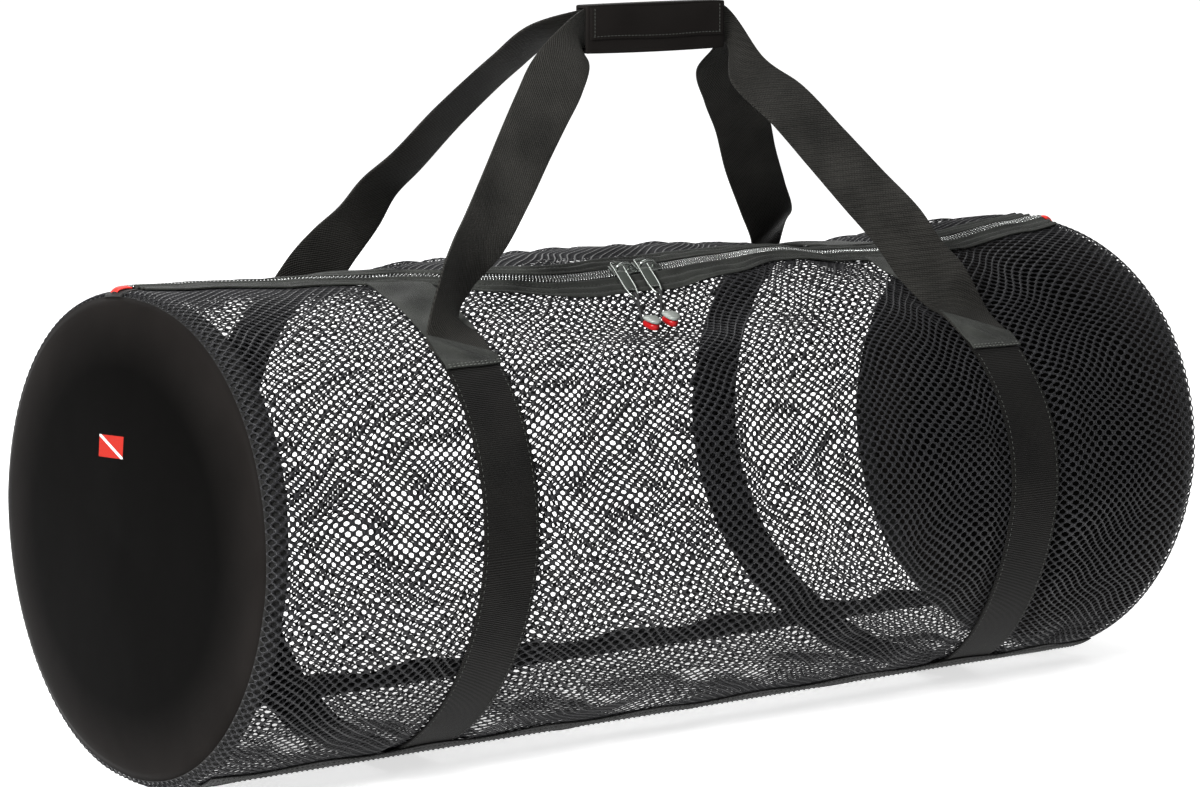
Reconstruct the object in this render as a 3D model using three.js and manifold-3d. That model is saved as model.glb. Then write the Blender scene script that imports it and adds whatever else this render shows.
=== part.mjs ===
// A mesh dive gear bag: a long tube of open net between two round end panels, a zip along its top,
// two webbing rings round its body, and two webbing handles gathered in one padded grip.
// Millimetres, +Z up, +X along the bag, its front towards -Y, the origin on the floor below its middle.
import * as THREE from 'three';
import { mergeVertices } from 'three/addons/utils/BufferGeometryUtils.js';
import Module from 'manifold-3d';

const wasm = await Module();
wasm.setup();

// Driving dimensions of the body
const BODY_LENGTH = 828;      // over the two end panels' edges
const PANEL_DEPTH = 416;      // an end panel, front to back
const PANEL_HEIGHT = 344;     // an end panel, bottom to top
const BELLY = 8;              // how far the net stands past the panels' edge
const RIM_TURN = 13;          // length over which the net turns in to a panel
const PANEL_CROWN = 8;        // how far a panel's middle bulges
const FLOOR_PRESS = 4;        // how far the round bottom is pressed flat by the floor
const TAPER = 0.08;           // how much narrower a section is at its bottom, as a share
const ROUNDNESS = 2.14;       // 2 is an ellipse, more is squarer

// Cloth, webbing and the gaps between them
const NET_WALL = 1.6;
const PANEL_WALL = 2.4;
const WEBBING_WALL = 1.8;
const CLOTH_WALL = 1.1;
const LAYER_GAP = 0.6;        // between one layer of cloth and the next
const SEAM_GAP = 0.35;        // between pieces that meet edge to edge

// Zip
const COIL_HALF = 4.6;
const COIL_HEIGHT = 2.6;
const TAPE_HALF = 14;
const BORDER_EDGE = 24;       // outer edge of the folded cloth beside the zip, from the coil's middle
const END_TAB_WIDTH = 11;
const SLIDER_LENGTH = 21;
const SLIDER_WIDTH = 13;
const SLIDER_FOOT = 2.1;      // heights over the net: the flanges' lower edge, the roof over the coil,
const SLIDER_ROOF = 3.55;     // and the plate's upper face
const SLIDER_TOP = 5;
const SLIDER_GAP = 2.8;
const SLIDERS_MEET = -17;     // where along the bag the two sliders meet
const TAB_LENGTH = 37;
const TAB_WIDTH = 10.5;
const TAB_WALL = 1.4;
const CORD_DIAMETER = 2.2;
const PULL_LENGTH = 15.5;
const PULL_WIDTH = 13;
const PULL_CAP = 3;           // the pale upper half
const PULL_BODY = 5;          // the red lower half

// Rings, handles and grip
const WEBBING_WIDTH = 45;
const RING_LEFT = -224;
const RING_RIGHT = 248;
const SEAM_ANGLE = 151;       // degrees round from the top, where a side panel meets the bottom panel
const SEAM_BAND = 26;         // width of the cloth over that seam
const GRIP_LENGTH = 126;
const GRIP_HEIGHT = 36;
const GRIP_WALL = 2.6;
const GRIP_MIDDLE = { x: 17, y: -30, z: 529 };
const FLAP_WALL = 1.5;
const FLAP_DROP = 24;         // how far the grip's flap comes down its front

// The body along its length. Every value but the first is a share of the size named beside it.
const BODY = [
  // at: along, from the middle (BODY_LENGTH); zip: how far the zip wanders to the front (PANEL_DEPTH);
  // rise: the top's height (PANEL_HEIGHT); swell: the sides (PANEL_DEPTH); lean: how far the section
  // leans along the bag (PANEL_HEIGHT); hook: how far its top and foot bend away from each other
  // (PANEL_HEIGHT)
  { at: -0.5, zip: -0.085, rise: -0.01, swell: 0, lean: 0.06, hook: 0 },
  { at: -0.44, zip: -0.062, rise: -0.014, swell: 0.002, lean: 0.06, hook: 0 },
  { at: -0.35, zip: -0.02, rise: -0.018, swell: 0.004, lean: 0.06, hook: 0 },
  { at: -0.27, zip: 0.036, rise: -0.014, swell: 0, lean: 0.06, hook: 0 },
  { at: -0.19, zip: 0.115, rise: -0.004, swell: 0.003, lean: 0.05, hook: 0 },
  { at: -0.12, zip: 0.14, rise: 0, swell: 0.006, lean: 0.035, hook: 0 },
  { at: 0, zip: 0.128, rise: 0.002, swell: 0.008, lean: 0.01, hook: -0.02 },
  { at: 0.09, zip: 0.11, rise: -0.004, swell: 0.006, lean: 0, hook: -0.06 },
  { at: 0.18, zip: 0.075, rise: -0.014, swell: 0.003, lean: 0, hook: -0.12 },
  { at: 0.25, zip: 0.075, rise: -0.032, swell: 0, lean: 0, hook: -0.16 },
  { at: 0.32, zip: 0.088, rise: -0.034, swell: 0.003, lean: 0, hook: -0.18 },
  { at: 0.38, zip: 0.085, rise: -0.022, swell: 0.004, lean: 0.01, hook: -0.14 },
  { at: 0.45, zip: 0.055, rise: -0.006, swell: 0.004, lean: 0.04, hook: -0.05 },
  { at: 0.5, zip: 0.03, rise: 0, swell: 0.004, lean: 0.055, hook: 0 },
];

// Hollows and bulges of the slack net.
const DENTS = [
  // along (BODY_LENGTH), around (degrees from the top, front positive), length (BODY_LENGTH),
  // spread (degrees), depth (PANEL_HEIGHT, inwards positive)
  { along: -0.03, around: 30, length: 0.19, spread: 17, depth: 0.06 },
  { along: 0.0, around: -34, length: 0.18, spread: 20, depth: 0.016 },
  { along: -0.38, around: 48, length: 0.07, spread: 26, depth: 0.009 },
  { along: 0.39, around: 46, length: 0.07, spread: 24, depth: 0.01 },
  { along: 0.1, around: 96, length: 0.13, spread: 22, depth: -0.008 },
  { along: -0.13, around: 118, length: 0.1, spread: 20, depth: 0.009 },
];

// Where each handle leg is sewn to its ring, in degrees round from the top.
const CORNERS = [
  // foot: where the handle leaves the bag; hem: the lower edge of the patch over it
  { name: 'front_left', side: 1, ring: RING_LEFT, foot: 34, hem: 44.5 },
  { name: 'front_right', side: 1, ring: RING_RIGHT, foot: 41, hem: 52.5 },
  { name: 'back_left', side: -1, ring: RING_LEFT, foot: 34, hem: 44.5 },
  { name: 'back_right', side: -1, ring: RING_RIGHT, foot: 41, hem: 52.5 },
];

// The four handle legs, from the foot to the grip. across, inward and up are shares of the way from
// the foot to the grip's end; turn is the webbing's twist in degrees; wide and thick are shares of
// the webbing's width and wall (it is folded double in the grip).
const LEGS = {
  front_left: [
    { across: 0, inward: 0.07, up: 0.14, turn: 26, wide: 1, thick: 1 },
    { across: 0.1, inward: 0.19, up: 0.23, turn: 20, wide: 1, thick: 1 },
    { across: 0.24, inward: 0.3, up: 0.32, turn: 4, wide: 1, thick: 1 },
    { across: 0.41, inward: 0.45, up: 0.475, turn: -5, wide: 1, thick: 1 },
    { across: 0.57, inward: 0.6, up: 0.63, turn: -12, wide: 1, thick: 1 },
    { across: 0.68, inward: 0.71, up: 0.73, turn: -18, wide: 1, thick: 1 },
    { across: 0.8, inward: 0.82, up: 0.84, turn: -20, wide: 1, thick: 1 },
    { across: 0.92, inward: 0.93, up: 0.94, turn: -4, wide: 0.8, thick: 1.4 },
  ],
  front_right: [
    { across: 0.09, inward: 0.09, up: 0.1, turn: 4, wide: 1, thick: 1 },
    { across: 0.19, inward: 0.19, up: 0.19, turn: 12, wide: 1, thick: 1 },
    { across: 0.28, inward: 0.28, up: 0.3, turn: 14, wide: 1, thick: 1 },
    { across: 0.43, inward: 0.43, up: 0.44, turn: 2, wide: 1, thick: 1 },
    { across: 0.58, inward: 0.58, up: 0.58, turn: -5, wide: 1, thick: 1 },
    { across: 0.74, inward: 0.74, up: 0.73, turn: -12, wide: 1, thick: 1 },
    { across: 0.9, inward: 0.88, up: 0.84, turn: -14, wide: 0.9, thick: 1.4 },
  ],
  back_left: [
    { across: 0.09, inward: 0.1, up: 0.1, turn: 6, wide: 1, thick: 1 },
    { across: 0.17, inward: 0.17, up: 0.2, turn: -2, wide: 1, thick: 1 },
    { across: 0.25, inward: 0.25, up: 0.3, turn: -14, wide: 1, thick: 1 },
    { across: 0.32, inward: 0.32, up: 0.41, turn: -24, wide: 1, thick: 1 },
    { across: 0.41, inward: 0.41, up: 0.5, turn: -30, wide: 1, thick: 1 },
    { across: 0.57, inward: 0.57, up: 0.69, turn: -33, wide: 1, thick: 1 },
    { across: 0.75, inward: 0.75, up: 0.87, turn: -37, wide: 1, thick: 1 },
    { across: 0.88, inward: 0.88, up: 0.98, turn: -40, wide: 0.9, thick: 1.4 },
  ],
  back_right: [
    { across: -0.03, inward: 0.12, up: 0.13, turn: 2, wide: 1, thick: 1 },
    { across: 0.05, inward: 0.25, up: 0.2, turn: -8, wide: 1, thick: 1 },
    { across: 0.2, inward: 0.36, up: 0.32, turn: -15, wide: 1, thick: 1 },
    { across: 0.39, inward: 0.5, up: 0.47, turn: -24, wide: 1, thick: 1 },
    { across: 0.57, inward: 0.65, up: 0.63, turn: -28, wide: 1, thick: 1 },
    { across: 0.74, inward: 0.76, up: 0.76, turn: -20, wide: 1, thick: 1 },
    { across: 0.9, inward: 0.88, up: 0.88, turn: -8, wide: 0.9, thick: 1.4 },
  ],
};
const GRIP_FOLD = { wide: 0.62, thick: 2 };   // the webbing folded double inside the grip

// Worked out from the sizes above
const HALF_LENGTH = BODY_LENGTH / 2;
const MID_HEIGHT = BELLY + PANEL_HEIGHT / 2 - FLOOR_PRESS;
const RADIUS_TOP = PANEL_DEPTH / 2 + BELLY;
const RING_SINK = LAYER_GAP + WEBBING_WALL;
const RING_HALF = WEBBING_WIDTH / 2;
const RING_SHOULDER = 6;      // the net runs level for this far beside a ring before it rises
const DEG = Math.PI / 180;

const material = (color, roughness, metalness = 0) =>
  new THREE.MeshStandardMaterial({ color, roughness, metalness, side: THREE.DoubleSide });
const NET = material(0x1b1b1f, 0.6);
const PANEL = material(0x0c0c0e, 0.45);
const WEBBING = material(0x26241f, 0.7);
const CLOTH = material(0x46483f, 0.85);
const COIL = material(0xb9bcbc, 0.35, 0.3);
const GUNMETAL = material(0x5a615d, 0.35, 0.9);
const RED = material(0xa81c1c, 0.5);
const PALE = material(0xb9bfba, 0.4);

const smooth = (t) => {
  const s = Math.min(Math.max(t, 0), 1);
  return s * s * (3 - 2 * s);
};

// Reads a column of the body table at a place along the bag, easing from row to row.
function along(x, column) {
  const at = x / BODY_LENGTH;
  const last = BODY.findIndex((row) => row.at >= at);
  if (last === 0) return BODY[0][column];
  if (last < 0) return BODY[BODY.length - 1][column];
  const [before, after] = [BODY[last - 1], BODY[last]];
  const t = (at - before.at) / (after.at - before.at);
  return before[column] + (after[column] - before[column]) * smooth(t);
}

function dent(x, degrees) {
  let depth = 0;
  for (const row of DENTS) {
    const u = (x / BODY_LENGTH - row.along) / row.length;
    const v = (degrees - row.around) / row.spread;
    depth += row.depth * PANEL_HEIGHT * Math.exp(-u * u * 1.6 - v * v * 1.6);
  }
  return depth;
}

// A station runs from 0 to 1 over the left rim's turn, 1 to 2 along the body, 2 to 3 over the right rim.
function station(t) {
  const inRim = t < 1 || t > 2;
  const turn = (t < 1 ? t : 3 - t) * (Math.PI / 2);
  if (inRim) {
    const inset = RIM_TURN * (1 - Math.cos(turn));
    const stand = SEAM_GAP + (BELLY - SEAM_GAP) * Math.sin(turn);
    return { x: (t < 1 ? -1 : 1) * (HALF_LENGTH - inset), stand };
  }
  return { x: (t - 1.5) * (BODY_LENGTH - 2 * RIM_TURN), stand: BELLY };
}
const stationAt = (x) => 1.5 + x / (BODY_LENGTH - 2 * RIM_TURN);

// A section of the bag: a rounded oval, narrower at its bottom, that leans along the bag.
function section(x, angle, halfDepth, halfHeight) {
  const round = (v) => Math.sign(v) * Math.abs(v) ** (2 / ROUNDNESS);
  const cosine = Math.cos(angle);
  const narrow = 1 - TAPER * Math.max(-cosine, 0);
  const up = halfHeight * round(cosine);
  const shift = along(x, 'lean') * up + along(x, 'hook') * up * (up / halfHeight) ** 2;
  return new THREE.Vector3(x + shift, -halfDepth * round(Math.sin(angle)) * narrow, MID_HEIGHT + up);
}

// The bag's outer form: a point at a station and an angle round from the top.
function form(t, angle) {
  const { x, stand } = station(t);
  const body = stand / BELLY;
  const lift = Math.cos(angle) > 0 ? along(x, 'rise') * PANEL_HEIGHT * body : 0;
  const out = stand - dent(x, angle / DEG) * body;
  const depth = PANEL_DEPTH / 2 + out + along(x, 'swell') * PANEL_DEPTH * body;
  const point = section(x, angle, depth, PANEL_HEIGHT / 2 + out + lift);
  point.z = Math.max(point.z, 0);
  return point;
}

function formNormal(t, angle) {
  const step = 1e-3;
  const alongBag = form(Math.min(t + step, 3), angle).sub(form(Math.max(t - step, 0), angle));
  const round = form(t, angle + step).sub(form(t, angle - step));
  return new THREE.Vector3().crossVectors(round, alongBag).normalize();
}

// How deep the net is drawn in under the rings, so that the webbing lies flush.
function ringSink(x, angle) {
  const near = Math.min(Math.abs(x - RING_LEFT), Math.abs(x - RING_RIGHT));
  const beside = 1 - smooth((near - RING_HALF - RING_SHOULDER) / (2 * RING_SHOULDER));
  const zip = Math.abs(angle - zipAngle(x)) * RADIUS_TOP;
  return RING_SINK * beside * smooth((zip - BORDER_EDGE) / BORDER_EDGE);
}

// A point on the bag's cloth, raised from the net's outer face.
function skin(t, angle, raised = 0) {
  const { x } = station(t);
  const point = form(t, angle);
  return point.addScaledVector(formNormal(t, angle), raised - ringSink(x, angle));
}

const zipAngle = (x) => Math.asin((along(x, 'zip') * PANEL_DEPTH) / RADIUS_TOP);
const fromZip = (side, distance) => (x) => zipAngle(x) + (side * distance) / RADIUS_TOP;
const fixed = (side, degrees) => () => side * degrees * DEG;

// The lines round the bag that all its cloth shares, for one side, from the zip to the bottom seam.
const SHOULDER = 34;
const BAND_HALF = (SEAM_BAND / 2 / RADIUS_TOP) / DEG;
const SIDE_STEPS = 11;
function sideLines(side) {
  const lines = [fromZip(side, TAPE_HALF + SEAM_GAP), fromZip(side, BORDER_EDGE)];
  const shoulder = side * SHOULDER * DEG;
  for (const share of [1 / 3, 2 / 3]) {
    const start = fromZip(side, BORDER_EDGE);
    lines.push((x) => start(x) + (shoulder - start(x)) * share);
  }
  const bandTop = SEAM_ANGLE - BAND_HALF;
  for (let i = 0; i <= SIDE_STEPS; i += 1) {
    lines.push(fixed(side, SHOULDER + ((bandTop - SHOULDER) * i) / SIDE_STEPS));
  }
  return lines;
}

// The shared lines that lie between two angles, in degrees on one side, with both ends.
function linesBetween(side, from, to, x) {
  const inner = [...sideLines(side), ...bottomLines(side)]
    .map((line) => (side * line(x)) / DEG)
    .filter((a) => a > from + 0.5 && a < to - 0.5)
    .sort((a, b) => a - b);
  return [from, ...inner, to].map((a) => fixed(side, a));
}

const BOTTOM_STEPS = 3;
function bottomLines(side) {
  const lines = [fixed(side, SEAM_ANGLE)];
  const bandFoot = SEAM_ANGLE + BAND_HALF;
  for (let i = 0; i <= BOTTOM_STEPS; i += 1) {
    lines.push(fixed(side, bandFoot + ((180 - bandFoot) * i) / BOTTOM_STEPS));
  }
  return lines;
}

// Stations along the body, closer at the rims and on both edges of each ring.
function bodyStations() {
  const stations = new Set();
  const ringStops = [-1, 0, 1];
  const bays = [
    [-HALF_LENGTH + RIM_TURN, RING_LEFT - RING_HALF, 4],
    [RING_LEFT + RING_HALF, RING_RIGHT - RING_HALF, 8],
    [RING_RIGHT + RING_HALF, HALF_LENGTH - RIM_TURN, 4],
  ];
  for (const [from, to, count] of bays) {
    for (let i = 0; i <= count; i += 1) stations.add(stationAt(from + ((to - from) * i) / count));
  }
  for (const ring of [RING_LEFT, RING_RIGHT]) {
    for (const stop of ringStops) {
      stations.add(stationAt(ring + stop * RING_HALF));
      if (stop) stations.add(stationAt(ring + stop * (RING_HALF + RING_SHOULDER)));
    }
  }
  return [...stations].sort((a, b) => a - b);
}
const BODY_STATIONS = bodyStations();
const RIM = [0, 1 / 3, 2 / 3];
const ALL_STATIONS = [...RIM, ...BODY_STATIONS, ...RIM.map((t) => 3 - t).reverse()];

function geometryFrom(points, faces) {
  const geometry = new THREE.BufferGeometry().setFromPoints(points);
  geometry.setIndex(faces);
  let volume = 0;
  for (let i = 0; i < faces.length; i += 3) {
    const [a, b, c] = [points[faces[i]], points[faces[i + 1]], points[faces[i + 2]]];
    volume += a.dot(new THREE.Vector3().crossVectors(b, c));
  }
  if (volume < 0) {
    for (let i = 0; i < faces.length; i += 3) [faces[i], faces[i + 1]] = [faces[i + 1], faces[i]];
    geometry.setIndex(faces);
  }
  geometry.computeVertexNormals();
  return geometry;
}

// Closes two matching grids of points, an outer and an inner, into one wall.
function wallBetween(outer, inner) {
  const rows = outer.length;
  const columns = outer[0].length;
  const points = [...outer.flat(), ...inner.flat()];
  const faces = [];
  const at = (layer, i, j) => layer * rows * columns + i * columns + j;
  const quad = (a, b, c, d) => faces.push(a, b, c, a, c, d);
  for (let i = 0; i < rows - 1; i += 1) {
    for (let j = 0; j < columns - 1; j += 1) {
      quad(at(0, i, j), at(0, i, j + 1), at(0, i + 1, j + 1), at(0, i + 1, j));
      quad(at(1, i, j), at(1, i + 1, j), at(1, i + 1, j + 1), at(1, i, j + 1));
    }
  }
  for (let i = 0; i < rows - 1; i += 1) {
    quad(at(0, i, 0), at(0, i + 1, 0), at(1, i + 1, 0), at(1, i, 0));
    const j = columns - 1;
    quad(at(0, i, j), at(1, i, j), at(1, i + 1, j), at(0, i + 1, j));
  }
  for (let j = 0; j < columns - 1; j += 1) {
    quad(at(0, 0, j), at(1, 0, j), at(1, 0, j + 1), at(0, 0, j + 1));
    const i = rows - 1;
    quad(at(0, i, j), at(0, i, j + 1), at(1, i, j + 1), at(1, i, j));
  }
  return geometryFrom(points, faces);
}

// A wall of cloth that follows the bag's form, from one raised level to another.
function clothWall(stations, lines, low, high) {
  const grid = (raised) => stations.map((t) => lines.map((line) => skin(t, line(station(t).x), raised)));
  return wallBetween(grid(high), grid(low));
}

const bag = new THREE.Group();
function piece(name, geometry, look) {
  const mesh = new THREE.Mesh(geometry, look);
  mesh.name = name;
  bag.add(mesh);
  return mesh;
}

// Net panels: front and back from the zip to the bottom seams, and the panel between the seams.
const seamShift = SEAM_GAP / 2 / RADIUS_TOP / DEG;
for (const [name, side] of [['net_front', 1], ['net_back', -1]]) {
  const lines = [...sideLines(side), fixed(side, SEAM_ANGLE - seamShift)];
  piece(name, clothWall(ALL_STATIONS, lines, -NET_WALL, 0), NET);
}
const bottomPanelLines = [
  fixed(1, SEAM_ANGLE + seamShift),
  ...bottomLines(1).slice(1, -1),
  fixed(1, 180),
  ...bottomLines(-1).slice(1, -1).reverse().map((line) => (x) => line(x) + 2 * Math.PI),
  () => (360 - SEAM_ANGLE - seamShift) * DEG,
];
piece('net_bottom', clothWall(ALL_STATIONS, bottomPanelLines, -NET_WALL, 0), NET);

// Cloth bands over the two bottom seams; their upper edges wander.
const BAND_WAVE = 1.1;        // degrees
const BAND_WAVE_LENGTH = 92;
for (const [name, side] of [['seam_band_front', 1], ['seam_band_back', -1]]) {
  const wave = (x) => BAND_WAVE * Math.sin((x / BAND_WAVE_LENGTH) * 2 * Math.PI + side);
  const lines = [
    (x) => side * (SEAM_ANGLE - BAND_HALF + wave(x)) * DEG,
    fixed(side, SEAM_ANGLE),
    fixed(side, SEAM_ANGLE + BAND_HALF),
  ];
  const level = (raised) => BODY_STATIONS.map((t) => lines.map((line) => {
    const { x } = station(t);
    const angle = line(x);
    return form(t, angle).addScaledVector(formNormal(t, angle), raised);
  }));
  piece(name, wallBetween(level(LAYER_GAP + CLOTH_WALL), level(LAYER_GAP)), CLOTH);
}

// End panels: padded discs that bulge a little, inside the net's turned rim. Their edge has the same
// corners as the net's, so the two stay a seam apart all round.
const PANEL_RINGS = [1, 0.8, 0.45];
function panelAngles(end) {
  const x = end * HALF_LENGTH;
  const side = (which) => [...sideLines(which), ...bottomLines(which).slice(0, -1)].map((line) => line(x));
  const tape = [-1, 0, 1].map((share) => fromZip(1, share * TAPE_HALF)(x));
  return [...tape, ...side(1), Math.PI, ...side(-1).map((angle) => angle + 2 * Math.PI).reverse()];
}
function endPanel(end) {
  const angles = panelAngles(end);
  const sectors = angles.length;
  const points = [];
  const faces = [];
  const layer = (inset) => {
    const first = points.length;
    for (const share of PANEL_RINGS) {
      const bulge = PANEL_CROWN * Math.sqrt(1 - share ** 2) - inset;
      for (const angle of angles) {
        const point = section(end * HALF_LENGTH, angle, (PANEL_DEPTH / 2) * share, (PANEL_HEIGHT / 2) * share);
        point.x += end * bulge;
        points.push(point);
      }
    }
    points.push(new THREE.Vector3(end * (HALF_LENGTH + PANEL_CROWN - inset), 0, MID_HEIGHT));
    return first;
  };
  const outer = layer(0);
  const inner = layer(PANEL_WALL);
  const rings = PANEL_RINGS.length;
  const next = (i) => (i + 1) % sectors;
  const skinOf = (first, flip) => {
    const add = (a, b, c) => (flip ? faces.push(a, c, b) : faces.push(a, b, c));
    for (let r = 0; r < rings - 1; r += 1) {
      for (let i = 0; i < sectors; i += 1) {
        const [a, b] = [first + r * sectors + i, first + r * sectors + next(i)];
        add(a, b, b + sectors);
        add(a, b + sectors, a + sectors);
      }
    }
    const centre = first + rings * sectors;
    const base = first + (rings - 1) * sectors;
    for (let i = 0; i < sectors; i += 1) add(base + i, base + next(i), centre);
  };
  skinOf(outer, false);
  skinOf(inner, true);
  for (let i = 0; i < sectors; i += 1) {
    const [a, b] = [outer + i, outer + next(i)];
    const [c, d] = [inner + next(i), inner + i];
    faces.push(a, c, b, a, d, c);
  }
  return geometryFrom(points, faces);
}
piece('end_panel_left', endPanel(-1), PANEL);
piece('end_panel_right', endPanel(1), PANEL);

// Zip: tape through both rims, coil and folded cloth borders along the body, a red tab at each end.
const ZIP_STATIONS = BODY_STATIONS;
const tapeLines = [-1, -0.5, 0, 0.5, 1].map((share) => (x) => zipAngle(x) + (share * TAPE_HALF) / RADIUS_TOP);
piece('zip_tape', clothWall(ALL_STATIONS, tapeLines, -CLOTH_WALL, 0), CLOTH);

const COIL_PROFILE = [
  // across the coil (COIL_HALF) and up (COIL_HEIGHT)
  { across: -1, up: 0 },
  { across: -0.8, up: 0.75 },
  { across: 0, up: 1 },
  { across: 0.8, up: 0.75 },
  { across: 1, up: 0 },
];
function coilGrid(level) {
  return ZIP_STATIONS.map((t) => COIL_PROFILE.map(({ across, up }) => {
    const { x } = station(t);
    return skin(t, zipAngle(x) + (across * COIL_HALF) / RADIUS_TOP, LAYER_GAP + level(up));
  }));
}
const COIL_FOOT = 0.6;
piece(
  'zip_coil',
  wallBetween(coilGrid((up) => COIL_FOOT + up * (COIL_HEIGHT - COIL_FOOT)), coilGrid(() => 0)),
  COIL,
);

const BORDER_START = COIL_HALF + 1.6;
for (const [name, side] of [['zip_border_front', 1], ['zip_border_back', -1]]) {
  const lines = [BORDER_START, TAPE_HALF + SEAM_GAP, BORDER_EDGE].map((d) => fromZip(side, d));
  piece(name, clothWall(ZIP_STATIONS, lines, LAYER_GAP, LAYER_GAP + CLOTH_WALL), CLOTH);
}

for (const [name, end] of [['zip_tab_left', -1], ['zip_tab_right', 1]]) {
  const outerStation = end < 0 ? 1 / 3 : 3 - 1 / 3;
  const innerX = end * (HALF_LENGTH - RIM_TURN);
  const stations = [outerStation, end < 0 ? 2 / 3 : 3 - 2 / 3, stationAt(innerX - (end * -1) * SEAM_GAP)];
  const lines = [-0.5, 0, 0.5].map((share) => (x) => zipAngle(x) + (share * END_TAB_WIDTH) / RADIUS_TOP);
  stations.sort((a, b) => a - b);
  piece(name, clothWall(stations, lines, LAYER_GAP, LAYER_GAP + CLOTH_WALL), RED);
}

// Webbing rings from patch to patch, under the bag.
const RING_END = 5;           // degrees that a ring runs on under its patch
for (const [name, ring] of [['ring_left', RING_LEFT], ['ring_right', RING_RIGHT]]) {
  const front = CORNERS.find((corner) => corner.ring === ring && corner.side > 0);
  const back = CORNERS.find((corner) => corner.ring === ring && corner.side < 0);
  const stations = [-1, 0, 1].map((stop) => stationAt(ring + stop * RING_HALF));
  const down = linesBetween(1, front.hem - RING_END, 180, ring);
  const up = linesBetween(-1, back.hem - RING_END, 180, ring).slice(0, -1).reverse();
  const lines = [...down, ...up.map((line) => () => line() + 2 * Math.PI)];
  piece(name, clothWall(stations, lines, LAYER_GAP, LAYER_GAP + WEBBING_WALL), WEBBING);
}

// Cloth from the zip border to each handle's foot, and the patch sewn over the foot.
const STRIP_SHORT = 5;        // degrees by which the cloth stops short of the foot
for (const { name, side, ring, foot, hem } of CORNERS) {
  const stations = [-1, 0, 1].map((stop) => stationAt(ring + stop * RING_HALF));
  const start = (side * fromZip(side, BORDER_EDGE + SEAM_GAP)(ring)) / DEG;
  const lines = linesBetween(side, start, foot - STRIP_SHORT, ring);
  lines[0] = fromZip(side, BORDER_EDGE + SEAM_GAP);
  piece(`strip_${name}`, clothWall(stations, lines, LAYER_GAP, LAYER_GAP + CLOTH_WALL), CLOTH);
  const low = 2 * LAYER_GAP + WEBBING_WALL;
  const ringTop = hem - RING_END;
  const patchLines = [
    ...linesBetween(side, foot, ringTop, ring),
    ...linesBetween(side, ringTop, hem, ring).slice(1),
  ];
  piece(`patch_${name}`, clothWall(stations, patchLines, low, low + CLOTH_WALL), CLOTH);
}

// Handles: one strap each, sewn under a patch at both feet and folded double through the grip.
const STRAP_SPLIT = 1;        // half the gap between the two straps inside the grip
const strapThick = WEBBING_WALL * GRIP_FOLD.thick;

// A strap's section where it lies on the net: the webbing's two faces, each from edge to edge.
function sewnSection(corner, degrees, fromEdge) {
  const angle = corner.side * degrees * DEG;
  const face = (raised) => [-1, 0, 1].map((stop) => {
    return skin(stationAt(corner.ring + fromEdge * stop * RING_HALF), angle, raised);
  });
  return { outer: face(LAYER_GAP + WEBBING_WALL), inner: face(LAYER_GAP) };
}

// The rows of a leg as places in the bag's frame.
function legPlaces(corner, gripEnd) {
  const start = skin(stationAt(corner.ring), corner.side * corner.foot * DEG, LAYER_GAP + WEBBING_WALL / 2);
  return LEGS[corner.name].map(({ across, inward, up, ...row }) => ({
    at: new THREE.Vector3(
      start.x + (gripEnd.x - start.x) * across,
      start.y + (gripEnd.y - start.y) * inward,
      start.z + (gripEnd.z - start.z) * up,
    ),
    ...row,
  }));
}

function handle(side) {
  const word = side > 0 ? 'front' : 'back';
  const [left, right] = ['left', 'right'].map((end) => CORNERS.find((c) => c.name === `${word}_${end}`));
  const gripY = GRIP_MIDDLE.y - side * (STRAP_SPLIT + strapThick / 2);
  const gripEnd = (end) => new THREE.Vector3(GRIP_MIDDLE.x + (end * GRIP_LENGTH) / 2, gripY, GRIP_MIDDLE.z);
  const places = [
    ...legPlaces(left, gripEnd(-1)),
    ...[-1.04, -0.4, 0.4, 1.04].map((end) => ({ at: gripEnd(end), level: true, turn: 0, ...GRIP_FOLD })),
    ...legPlaces(right, gripEnd(1)).reverse(),
  ];
  const outward = new THREE.Vector3(0, -side, 0);
  const rows = places.map((place, i) => {
    const before = places[Math.max(i - 1, 0)].at;
    const after = places[Math.min(i + 1, places.length - 1)].at;
    const run = place.level ? new THREE.Vector3(1, 0, 0) : new THREE.Vector3().subVectors(after, before).normalize();
    const face = outward.clone().addScaledVector(run, -outward.dot(run)).normalize();
    face.applyAxisAngle(run, place.turn * side * DEG);
    const across = new THREE.Vector3().crossVectors(run, face).normalize();
    const half = RING_HALF * place.wide;
    const thick = (WEBBING_WALL / 2) * place.thick;
    const edge = (u, v) => place.at.clone().addScaledVector(across, u * half).addScaledVector(face, v * thick);
    return { outer: [-1, 0, 1].map((u) => edge(u, 1)), inner: [-1, 0, 1].map((u) => edge(u, -1)) };
  });
  const hemEnd = (corner) => corner.hem - RING_END - SEAM_GAP / RADIUS_TOP / DEG;
  const sections = [
    sewnSection(left, hemEnd(left), side),
    sewnSection(left, left.foot, side),
    ...rows,
    sewnSection(right, right.foot, -side),
    sewnSection(right, hemEnd(right), -side),
  ];
  return wallBetween(sections.map((one) => one.outer), sections.map((one) => one.inner));
}
piece('handle_front', handle(1), WEBBING);
piece('handle_back', handle(-1), WEBBING);

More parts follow.
